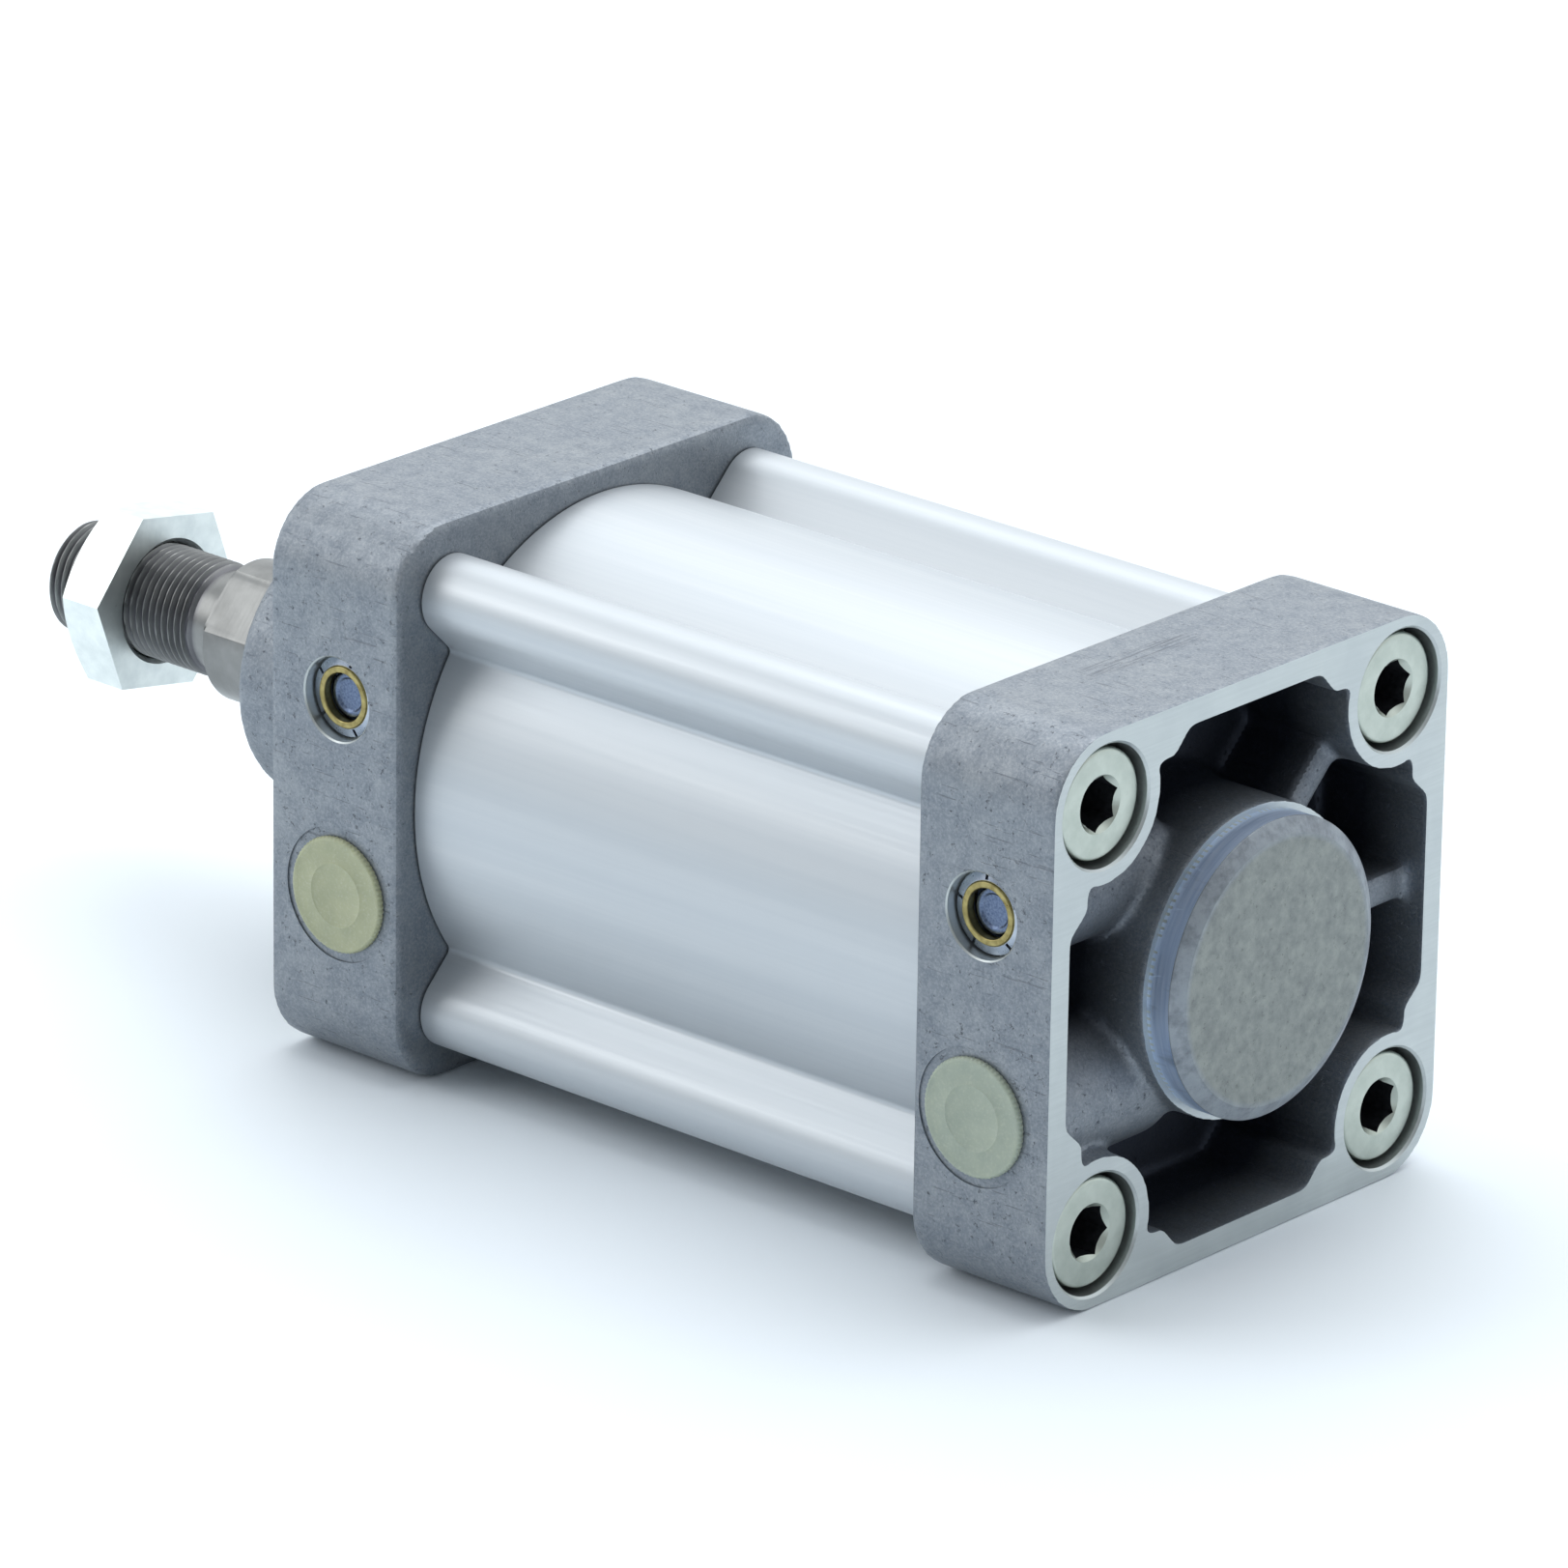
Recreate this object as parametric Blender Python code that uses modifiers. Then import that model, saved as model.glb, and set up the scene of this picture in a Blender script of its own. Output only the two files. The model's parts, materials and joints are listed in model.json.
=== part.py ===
"""Pneumatic cylinder, 80 mm bore and 40 mm stroke, with profile barrel, cast end caps and air cushions.

The frame: +X runs along the cylinder's axis from the rod towards the rear cap, the air ports are on the
-Y side, and +Z is up. The origin is the centre of the rear boss's end face. Every size is in metres.
"""

import math

import bpy
import bmesh
from mathutils import Matrix

OBJECT_NAME = "pneumatic_cylinder"
MM = 0.001
GAP = 0.3 * MM
OVERRUN = 1 * MM

# Driving dimensions of the whole cylinder
BORE = 80 * MM
STROKE = 40 * MM
FACE_TO_FACE = 128 * MM + STROKE
SCREW_SQUARE = 72 * MM
ROD_DIAMETER = 25 * MM
ROD_THREAD = 20 * MM
ROD_THREAD_LENGTH = 34.5 * MM
ROD_END_LENGTH = 40 * MM
ROD_FLATS = 22 * MM
ROD_FLATS_LENGTH = 14 * MM
ROD_STANDOUT = 46 * MM
ROD_EXTENSION_AT_REST = 6 * MM

# End caps
CAP_WIDTH = 96.8 * MM
CAP_LENGTH = 28 * MM
CAP_CORNER = 12.2 * MM
POCKET_DEPTH = 22 * MM
POCKET_WALL = 44 * MM
POCKET_SHELF = 40 * MM
POCKET_FLAT = 16 * MM
POCKET_STEP = 19.5 * MM
SCREW_BOSS = 13 * MM
REAR_BOSS_RADIUS = 25 * MM
REAR_BOSS_HEIGHT = 6 * MM
REAR_BOSS_FACE = 22.5 * MM
REAR_BOSS_BEVEL = 1.5 * MM
COLLAR_RADIUS = 24 * MM
COLLAR_DRAFT = 0.2 * MM
COLLAR_CHAMFER = 1 * MM
COLLAR_LENGTH = 32.8 * MM
WEB_THICKNESS = 6 * MM
WEB_DROP = 7.4 * MM
WEB_START = 20 * MM
WALL_WEB_END = 46 * MM
SCREW_WEB_END = 42 * MM

# Inside the caps
SPIGOT_LENGTH = 12 * MM
SPIGOT_ROOT = 2 * MM
RING_GROOVE_OFFSET = 6.2 * MM
RING_GROOVE_WIDTH = 3.6 * MM
RING_GROOVE_FLOOR = 36.6 * MM
CUSHION_SEAT_RADIUS = 20.3 * MM
CUSHION_SEAT_DEPTH = 7 * MM
CUSHION_SEAL_RADIUS = 16 * MM
CHAMBER_RADIUS = 17 * MM
REAR_CHAMBER_WALL = 6 * MM
FRONT_CHAMBER_WALL = 8 * MM
BEARING_RADIUS = 16.1 * MM
WIPER_SEAT_RADIUS = 18.3 * MM
WIPER_SEAT_DEPTH = 10 * MM

# Barrel
BARREL_RADIUS = 44.3 * MM
LOBE_RADIUS = 6.8 * MM

# Air ports, measured from each mounting face and from the axis
PORT_OFFSET = 15 * MM
PORT_HEIGHT = -16.6 * MM
PORT_RADIUS = 8.33 * MM
PORT_FLOOR = 24 * MM
SPOT_FACE_RADIUS = 11.65 * MM
SPOT_FACE_DEPTH = 0.3 * MM
PORT_BOSS_RADIUS = 12.5 * MM
PORT_BOSS_END = 14 * MM
PASSAGE_RADIUS = 5 * MM
PASSAGE_END = 4 * MM

# Cushion adjusting screws, measured the same way
NEEDLE_OFFSET = 14.5 * MM
NEEDLE_HEIGHT = 17.3 * MM
NEEDLE_RECESS_RADIUS = 7.2 * MM
NEEDLE_RECESS_DEPTH = 3.4 * MM
NEEDLE_BORE = 5.5 * MM
NEEDLE_BORE_DEPTH = 13 * MM
NEEDLE_SEAT_RADIUS = 2.6 * MM
NEEDLE_SEAT_END = 2 * MM
NEEDLE_BOSS_RADIUS = 9.5 * MM
NEEDLE_BOSS_END = 12 * MM
FUSED_BOSS_INNER = 25 * MM
FUSED_BOSS_OUTER = 45 * MM
FUSED_BOSS_TOP = 27.5 * MM
BLEED_RADIUS = 1.5 * MM
BLEED_OFFSET = 24 * MM
RING_SLOTS = 5
RING_SLOT_WIDTH = 0.7 * MM
RING_SLOT_ANGLE = math.radians(24)

# Piston, and the depths of its grooves behind each of its faces
PISTON_LENGTH = 47 * MM
PISTON_RADIUS = 39.2 * MM
PISTON_CHAMFER = 1 * MM
SEAL_GROOVE_START = 3 * MM
SEAL_GROOVE_END = 11 * MM
SEAL_GROOVE_FLOOR = 33 * MM
GUIDE_START = 14 * MM
GUIDE_FLOOR = 36.5 * MM
MAGNET_START = 18.5 * MM
MAGNET_FLOOR = 30 * MM
BORE_SEAL_SEAT = 11.3 * MM
BORE_SEAL_DEPTH = 1.6 * MM
BORE_SEAL_THICKNESS = 2.4 * MM
GROOVE_CLEARANCE = 0.4 * MM
SLEEVE_LENGTH = 24 * MM
SLEEVE_RADIUS = 15.7 * MM
SLEEVE_TAPER_LENGTH = 2 * MM
SLEEVE_TAPER = 0.8 * MM
TIE_RADIUS = 8 * MM
PISTON_NUT_FLATS = 24 * MM
PISTON_NUT_LENGTH = 4 * MM
PISTON_CLEARANCE = 0.5 * MM

# Cap screws and rod nut
SCREW_HEAD_RADIUS = 9.2 * MM
SCREW_HEAD_HEIGHT = 10 * MM
SCREW_HEAD_CHAMFER = 0.6 * MM
SCREW_HEAD_RECESS = 1.3 * MM
SCREW_RADIUS = 5 * MM
SCREW_LENGTH = 41 * MM
SCREW_KEY = 8 * MM
SCREW_KEY_DEPTH = 6.5 * MM
COUNTERBORE_RADIUS = 10.2 * MM
NUT_FLATS = 30 * MM
NUT_LENGTH = 10 * MM
NUT_TO_SHOULDER = 30 * MM
NUT_CORNER = math.radians(50)
NUT_CHAMFER = 0.7 * MM

# Planes along the axis, from the driving dimensions
REAR_FACE = -REAR_BOSS_HEIGHT
REAR_INNER = REAR_FACE - CAP_LENGTH
REAR_SPIGOT_END = REAR_INNER - SPIGOT_LENGTH
FRONT_FACE = REAR_FACE - FACE_TO_FACE
FRONT_INNER = FRONT_FACE + CAP_LENGTH
FRONT_SPIGOT_END = FRONT_INNER + SPIGOT_LENGTH
COLLAR_END = FRONT_FACE - COLLAR_LENGTH
WIPER_SEAT = COLLAR_END + WIPER_SEAT_DEPTH
ROD_SHOULDER = FRONT_FACE - ROD_STANDOUT - ROD_EXTENSION_AT_REST
PISTON_REAR = REAR_SPIGOT_END - PISTON_CLEARANCE - ROD_EXTENSION_AT_REST
PISTON_FRONT = PISTON_REAR - PISTON_LENGTH
PISTON_NUT_REAR = PISTON_REAR + SLEEVE_LENGTH + PISTON_NUT_LENGTH
SLEEVE_FRONT = PISTON_FRONT - SLEEVE_LENGTH
NUT_FRONT = ROD_SHOULDER - NUT_TO_SHOULDER

# Distances across the axis, from the driving dimensions
SIDE = CAP_WIDTH / 2
SCREW_PLACE = SCREW_SQUARE / 2
BORE_RADIUS = BORE / 2
FIT_RADIUS = BORE_RADIUS - GAP
ROD_RADIUS = ROD_DIAMETER / 2
THREAD_RADIUS = ROD_THREAD / 2
RUNNING_RADIUS = ROD_RADIUS + GAP
TIE_HOLE_RADIUS = TIE_RADIUS + GAP

# Directions of a piece whose own Z axis runs along the cylinder, or out of the ports' side
ALONG = (math.pi / 2, 0, math.pi / 2)
AGAINST = (math.pi / 2, 0, -math.pi / 2)
SIDEWAYS = (math.pi / 2, 0, 0)

# Steps round a turned piece
FINE = 40
SEGMENTS = 28
MEDIUM = 20
COARSE = 16
SPARSE = 12


def clear_scene():
    """Remove every object and leave one collection for the parts and one for the cutters."""
    for item in list(bpy.data.objects):
        bpy.data.objects.remove(item, do_unlink=True)
    collections = []
    for name in (OBJECT_NAME, "cutters"):
        collection = bpy.data.collections.new(name)
        bpy.context.scene.collection.children.link(collection)
        collections.append(collection)
    return collections


PARTS, CUTTERS = clear_scene()


def surface(name, colour, roughness, metallic):
    """A Principled material."""
    material = bpy.data.materials.new(name)
    material.use_nodes = True
    shader = material.node_tree.nodes["Principled BSDF"]
    shader.inputs["Base Color"].default_value = (*colour, 1)
    shader.inputs["Roughness"].default_value = roughness
    shader.inputs["Metallic"].default_value = metallic
    material.diffuse_color = (*colour, 1)
    return material


CAST = surface("cast_aluminium", (0.30, 0.33, 0.37), 0.55, 0.8)
PROFILE = surface("anodised_profile", (0.72, 0.75, 0.79), 0.32, 0.9)
ZINC = surface("zinc_screw", (0.62, 0.66, 0.60), 0.35, 0.9)
NUT_ZINC = surface("blue_zinc_nut", (0.70, 0.76, 0.80), 0.22, 1.0)
ROD_STEEL = surface("rod_steel", (0.55, 0.54, 0.52), 0.30, 1.0)
BRASS = surface("brass_ring", (0.58, 0.47, 0.22), 0.35, 1.0)
NEEDLE_STEEL = surface("needle_steel", (0.36, 0.40, 0.50), 0.35, 0.9)
PLUG = surface("plug_plastic", (0.66, 0.67, 0.46), 0.50, 0.0)
RUBBER = surface("seal_rubber", (0.03, 0.03, 0.03), 0.65, 0.0)
BRONZE = surface("bush_bronze", (0.50, 0.33, 0.18), 0.45, 0.9)
PISTON = surface("piston_aluminium", (0.62, 0.63, 0.65), 0.40, 0.9)
GUIDE = surface("guide_plastic", (0.16, 0.14, 0.12), 0.50, 0.0)
MAGNET = surface("magnet_ferrite", (0.10, 0.10, 0.11), 0.60, 0.2)


def add(item, material):
    """Put an object with the parts, or with the cutters when it has no material."""
    if material is None:
        CUTTERS.objects.link(item)
        item.hide_render = True
        item.display_type = "WIRE"
    else:
        PARTS.objects.link(item)
        item.data.materials.append(material)
    return item


def turned(name, profile, material=None, segments=SEGMENTS, turn=ALONG, place=(0, 0, 0), ring=False):
    """A profile of (radius, height) points turned about the piece's own Z axis.

    The points run down the outer side. A ring's profile closes on itself, and a solid's starts and
    ends on the axis.
    """
    mesh = bpy.data.meshes.new(name)
    points = [(radius, 0, height) for radius, height in profile]
    edges = [(index, index + 1) for index in range(len(points) - 1)]
    if ring:
        edges.append((len(points) - 1, 0))
    mesh.from_pydata(points, edges, [])
    item = bpy.data.objects.new(name, mesh)
    item.rotation_euler = turn
    item.location = place
    screw = item.modifiers.new("turn", "SCREW")
    screw.axis = "Z"
    screw.angle = 2 * math.pi
    screw.steps = segments
    screw.render_steps = segments
    screw.use_merge_vertices = True
    screw.merge_threshold = 0.01 * MM
    return add(item, material)


def solid(name, profile, *args, **options):
    """A turned solid whose profile lists only its outer side, from top to bottom."""
    closed = [(0, profile[0][1])] + profile + [(0, profile[-1][1])]
    return turned(name, closed, *args, **options)


def tube(name, outer, inner, ends, *args, **options):
    """A plain ring of rectangular section between two ends."""
    low, high = sorted(ends)
    profile = [(outer, high), (outer, low), (inner, low), (inner, high)]
    return turned(name, profile, *args, ring=True, **options)


def cylinder(name, radius, ends, segments=SEGMENTS, turn=ALONG, place=(0, 0, 0)):
    """A plain round cutter or filler between two ends."""
    low, high = sorted(ends)
    return solid(name, [(radius, high), (radius, low)], None, segments, turn, place)


def facing(face, outward, profile):
    """A profile given by its depth behind a face, set on the axis so that it runs down its outer side."""
    placed = [(radius, face - outward * depth) for radius, depth in profile]
    if outward < 0:
        placed.reverse()
    return placed


def extruded(name, outlines, ends, material=None):
    """Flat outlines in the Y-Z plane, given the thickness between two planes along the axis."""
    low, high = sorted(ends)
    curve = bpy.data.curves.new(name, "CURVE")
    curve.dimensions = "2D"
    curve.fill_mode = "BOTH"
    curve.extrude = (high - low) / 2
    for outline in outlines:
        spline = curve.splines.new("POLY")
        spline.points.add(len(outline) - 1)
        for point, (across, up) in zip(spline.points, outline):
            point.co = (across, up, 0, 1)
        spline.use_cyclic_u = True
    drawn = bpy.data.objects.new(name + "_outline", curve)
    bpy.context.scene.collection.objects.link(drawn)
    graph = bpy.context.evaluated_depsgraph_get()
    mesh = bpy.data.meshes.new_from_object(drawn.evaluated_get(graph))
    bpy.data.objects.remove(drawn)
    work = bmesh.new()
    work.from_mesh(mesh)
    bmesh.ops.remove_doubles(work, verts=work.verts, dist=0.01 * MM)
    bmesh.ops.recalc_face_normals(work, faces=work.faces)
    work.to_mesh(mesh)
    work.free()
    mesh.materials.clear()
    item = bpy.data.objects.new(name, mesh)
    item.rotation_euler = ALONG
    item.location = ((low + high) / 2, 0, 0)
    return add(item, material)


def block(name, low, high, turn=(0, 0, 0)):
    """A box cutter or filler between two corners, turned about the cylinder's axis."""
    mesh = bpy.data.meshes.new(name)
    work = bmesh.new()
    bmesh.ops.create_cube(work, size=1)
    size = [top - bottom for bottom, top in zip(low, high)]
    middle = [(top + bottom) / 2 for bottom, top in zip(low, high)]
    bmesh.ops.scale(work, vec=size, verts=work.verts)
    bmesh.ops.translate(work, vec=middle, verts=work.verts)
    work.to_mesh(mesh)
    work.free()
    item = bpy.data.objects.new(name, mesh)
    item.rotation_euler = turn
    return add(item, None)


def hex_prism(name, flats, ends, corner, material=None):
    """A hexagonal prism along the axis, with its first corner at the given angle from +Y to +Z."""
    low, high = sorted(ends)
    mesh = bpy.data.meshes.new(name)
    work = bmesh.new()
    radius = flats / math.sqrt(3)
    bmesh.ops.create_cone(work, cap_ends=True, segments=6, radius1=radius, radius2=radius, depth=high - low)
    work.verts.ensure_lookup_table()
    first = work.verts[0].co
    spin = Matrix.Rotation(corner - math.atan2(first.y, first.x), 4, "Z")
    lift = Matrix.Translation((0, 0, (low + high) / 2))
    work.transform(lift @ spin)
    work.to_mesh(mesh)
    work.free()
    item = bpy.data.objects.new(name, mesh)
    item.rotation_euler = ALONG
    return add(item, material)


def o_ring(name, middle_radius, thickness, segments=SEGMENTS, turn=ALONG, place=(0, 0, 0)):
    """A round-section seal ring."""
    bpy.ops.mesh.primitive_torus_add(
        major_radius=middle_radius,
        minor_radius=thickness / 2,
        major_segments=segments,
        minor_segments=6,
        location=place,
        rotation=turn,
    )
    item = bpy.context.object
    item.name = name
    item.data.name = name
    for collection in list(item.users_collection):
        collection.objects.unlink(item)
    return add(item, RUBBER)


def change(target, operation, others):
    """Cut other shapes out of a piece, join them on, or keep only what they share, in one step."""
    group = bpy.data.collections.new(f"{target.name}_{operation.lower()}")
    CUTTERS.children.link(group)
    for other in others:
        CUTTERS.objects.unlink(other)
        group.objects.link(other)
    step = target.modifiers.new(operation.lower(), "BOOLEAN")
    step.operation = operation
    step.solver = "EXACT"
    step.operand_type = "COLLECTION"
    step.collection = group


def cut(target, *others):
    change(target, "DIFFERENCE", others)


def join(target, *others):
    change(target, "UNION", others)


def freeze(item):
    """Turn a piece's modifiers into its mesh, shaded smooth except along its edges."""
    graph = bpy.context.evaluated_depsgraph_get()
    mesh = bpy.data.meshes.new_from_object(item.evaluated_get(graph))
    item.modifiers.clear()
    item.data = mesh
    mesh.shade_smooth()
    mesh.set_sharp_from_angle(angle=math.radians(30))


def quarter_turns(outline):
    """The outline's points repeated at 0, 90, 180 and 270 degrees."""
    points = list(outline)
    whole = []
    for _ in range(4):
        whole += points
        points = [(-up, across) for across, up in points]
    return whole


def arc(centre, radius, start, end, steps):
    """Points along an arc, angles in radians."""
    angles = [start + (end - start) * step / steps for step in range(steps + 1)]
    return [(centre[0] + radius * math.cos(a), centre[1] + radius * math.sin(a)) for a in angles]


def circle(centre, radius, steps):
    """Points round a circle."""
    return arc(centre, radius, 0, 2 * math.pi * (steps - 1) / steps, steps - 1)


def screw_places():
    """The four corner screws' places across the axis, counter-clockwise from +Y +Z."""
    return quarter_turns([(SCREW_PLACE, SCREW_PLACE)])


def cap_outline():
    """The square cap with its round corners."""
    straight = SIDE - CAP_CORNER
    return quarter_turns(arc((straight, straight), CAP_CORNER, 0, math.pi / 2, 6))


def pocket_outline():
    """The cast pocket: a shallow step in each wall, and a round boss left at each screw."""
    swing = math.acos((POCKET_SHELF - SCREW_PLACE) / SCREW_BOSS)
    side = [
        (POCKET_SHELF, -POCKET_STEP),
        (POCKET_WALL, -POCKET_FLAT),
        (POCKET_WALL, POCKET_FLAT),
        (POCKET_SHELF, POCKET_STEP),
    ]
    round_screw = arc((SCREW_PLACE, SCREW_PLACE), SCREW_BOSS, -swing, swing - 1.5 * math.pi, 7)
    return quarter_turns(side + round_screw)


def barrel_outline():
    """The round tube with a rounded screw channel standing out at each corner."""
    edge = math.asin(LOBE_RADIUS / BARREL_RADIUS)
    diagonal = math.pi / 4
    tube_side = arc((0, 0), BARREL_RADIUS, edge - diagonal, diagonal - edge, 12)
    lobe = arc(
        (SCREW_PLACE, SCREW_PLACE), LOBE_RADIUS, diagonal - math.pi / 2, diagonal + math.pi / 2, 8
    )
    return quarter_turns(tube_side + lobe)


def make_barrel():
    """The extruded tube, open at both ends, with a screw channel through each corner."""
    holes = [circle((0, 0), BORE_RADIUS, FINE)]
    holes += [circle(place, SCREW_RADIUS + GAP, COARSE) for place in screw_places()]
    ends = (FRONT_INNER + GAP, REAR_INNER - GAP)
    freeze(extruded("barrel", [barrel_outline()] + holes, ends, PROFILE))


def cap_pocket(name, face, outward):
    """The cutter of the pocket that is cast in a cap's outer face."""
    ends = (face + outward * OVERRUN, face - outward * POCKET_DEPTH)
    return extruded(name + "_pocket", [pocket_outline()], ends)


def pocket_fillers(name, face, outward):
    """The bosses and webs that are cast across the pocket."""
    root = face - outward * (POCKET_DEPTH + OVERRUN)
    web_top = face - outward * WEB_DROP
    port_place = (face - outward * PORT_OFFSET, 0, PORT_HEIGHT)
    needle_place = (face - outward * NEEDLE_OFFSET, 0, NEEDLE_HEIGHT)
    outside = SIDE - OVERRUN
    port_ends = (outside, PORT_BOSS_END)
    needle_ends = (outside, NEEDLE_BOSS_END)
    fused_low, fused_high = sorted((root, needle_place[0]))
    fillers = [
        cylinder(name + "_port_boss", PORT_BOSS_RADIUS, port_ends, COARSE, SIDEWAYS, port_place),
        cylinder(name + "_needle_boss", NEEDLE_BOSS_RADIUS, needle_ends, COARSE, SIDEWAYS, needle_place),
        block(
            name + "_fused_boss",
            (fused_low, -FUSED_BOSS_OUTER, NEEDLE_HEIGHT),
            (fused_high, -FUSED_BOSS_INNER, FUSED_BOSS_TOP),
        ),
    ]
    web_low, web_high = sorted((root, web_top))
    half = WEB_THICKNESS / 2
    for angle, end in ((0, WALL_WEB_END), (45, SCREW_WEB_END), (-45, SCREW_WEB_END)):
        fillers.append(block(
            f"{name}_web_{angle}",
            (web_low, WEB_START, -half),
            (web_high, end, half),
            (math.radians(angle), 0, 0),
        ))
    return fillers


def screw_drills(name, face, outward):
    """Each corner's clearance hole, and the counterbore that its screw's head sinks into."""
    seat = face - outward * (SCREW_HEAD_RECESS + SCREW_HEAD_HEIGHT + GAP)
    head_ends = (face + outward * OVERRUN, seat)
    shank_ends = (face, face - outward * (CAP_LENGTH + OVERRUN))
    hole = SCREW_RADIUS + GAP
    drills = []
    for number, (across, up) in enumerate(screw_places(), 1):
        place = (0, across, up)
        head_name = f"{name}_counterbore_{number}"
        drills.append(cylinder(f"{name}_screw_hole_{number}", hole, shank_ends, COARSE, ALONG, place))
        drills.append(cylinder(head_name, COUNTERBORE_RADIUS, head_ends, MEDIUM, ALONG, place))
    return drills


def port_drills(name, face, outward):
    """The spot face, the threaded port at its major diameter, and the passage to the chamber."""
    place = (face - outward * PORT_OFFSET, 0, PORT_HEIGHT)
    outside = SIDE + OVERRUN
    spot_ends = (outside, SIDE - SPOT_FACE_DEPTH)
    passage_ends = (PORT_FLOOR + 2 * OVERRUN, PASSAGE_END)
    return [
        cylinder(name + "_spot_face", SPOT_FACE_RADIUS, spot_ends, SEGMENTS, SIDEWAYS, place),
        cylinder(name + "_port", PORT_RADIUS, (outside, PORT_FLOOR), MEDIUM, SIDEWAYS, place),
        cylinder(name + "_air_passage", PASSAGE_RADIUS, passage_ends, COARSE, SIDEWAYS, place),
    ]


def needle_drills(name, face, outward):
    """The adjuster's stepped bore, and the bleed hole that runs from it to the spigot's end."""
    x_needle = face - outward * NEEDLE_OFFSET
    profile = [
        (NEEDLE_RECESS_RADIUS, SIDE + OVERRUN),
        (NEEDLE_RECESS_RADIUS, SIDE - NEEDLE_RECESS_DEPTH),
        (NEEDLE_BORE, SIDE - NEEDLE_RECESS_DEPTH),
        (NEEDLE_BORE, SIDE - NEEDLE_BORE_DEPTH),
        (NEEDLE_SEAT_RADIUS, SIDE - NEEDLE_BORE_DEPTH),
        (NEEDLE_SEAT_RADIUS, NEEDLE_SEAT_END),
    ]
    place = (x_needle, 0, NEEDLE_HEIGHT)
    bleed_ends = (x_needle, face - outward * (CAP_LENGTH + SPIGOT_LENGTH + OVERRUN))
    bleed_place = (0, -BLEED_OFFSET, NEEDLE_HEIGHT)
    return [
        solid(name + "_needle_bore", profile, None, MEDIUM, SIDEWAYS, place),
        cylinder(name + "_bleed", BLEED_RADIUS, bleed_ends, SPARSE, ALONG, bleed_place),
    ]


def spigot_grooves(name, inner_plane, outward):
    """The groove for the spigot's seal ring, and the seat of the cushion seal in its end."""
    end = inner_plane - outward * SPIGOT_LENGTH
    middle = inner_plane - outward * RING_GROOVE_OFFSET
    half = RING_GROOVE_WIDTH / 2
    ends = (middle - half, middle + half)
    seat_ends = (end - outward * OVERRUN, end + outward * CUSHION_SEAT_DEPTH)
    return [
        tube(name + "_ring_groove", BORE_RADIUS + OVERRUN, RING_GROOVE_FLOOR, ends, None, FINE),
        cylinder(name + "_seal_seat", CUSHION_SEAT_RADIUS, seat_ends),
    ]


def make_cap(name, face, outward, centre_boss, centre_drills):
    """A square casting, open round its central boss, with the spigot that enters the barrel."""
    inner_plane = face - outward * CAP_LENGTH
    spigot_end = inner_plane - outward * SPIGOT_LENGTH
    cap = extruded(name + "_cap", [cap_outline()], (face, inner_plane), CAST)
    cut(cap, cap_pocket(name, face, outward))
    spigot_ends = (spigot_end, inner_plane + outward * SPIGOT_ROOT)
    spigot = cylinder(name + "_spigot", FIT_RADIUS, spigot_ends, FINE)
    join(cap, centre_boss, spigot, *pocket_fillers(name, face, outward))
    drills = screw_drills(name, face, outward)
    drills += port_drills(name, face, outward)
    drills += needle_drills(name, face, outward)
    drills += spigot_grooves(name, inner_plane, outward)
    cut(cap, *drills, *centre_drills)
    freeze(cap)


def make_rear_cap():
    """The rear cap, with its machined central boss and the blind cushion chamber."""
    boss = solid("rear_boss", [
        (REAR_BOSS_FACE, 0),
        (REAR_BOSS_RADIUS, -REAR_BOSS_BEVEL),
        (REAR_BOSS_RADIUS, REAR_FACE - POCKET_DEPTH - OVERRUN),
    ], None, FINE)
    ends = (REAR_FACE - REAR_CHAMBER_WALL, REAR_SPIGOT_END - OVERRUN)
    make_cap("rear", REAR_FACE, 1, boss, [cylinder("rear_chamber", CHAMBER_RADIUS, ends)])


def make_front_cap():
    """The front cap, with the long collar that carries the rod's bearing and wiper."""
    collar = solid("front_collar", [
        (COLLAR_RADIUS + COLLAR_DRAFT, FRONT_FACE + POCKET_DEPTH + OVERRUN),
        (COLLAR_RADIUS + COLLAR_DRAFT, FRONT_FACE),
        (COLLAR_RADIUS, COLLAR_END + COLLAR_CHAMFER),
        (COLLAR_RADIUS - COLLAR_CHAMFER, COLLAR_END),
    ], None, FINE)
    chamber_end = FRONT_FACE + FRONT_CHAMBER_WALL
    bearing = solid("front_bearing_bore", [
        (BEARING_RADIUS, chamber_end + OVERRUN),
        (BEARING_RADIUS, WIPER_SEAT),
        (WIPER_SEAT_RADIUS, WIPER_SEAT),
        (WIPER_SEAT_RADIUS, COLLAR_END - OVERRUN),
    ])
    chamber = cylinder("front_chamber", CHAMBER_RADIUS, (chamber_end, FRONT_SPIGOT_END + OVERRUN))
    make_cap("front", FRONT_FACE, -1, collar, [bearing, chamber])


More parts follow.
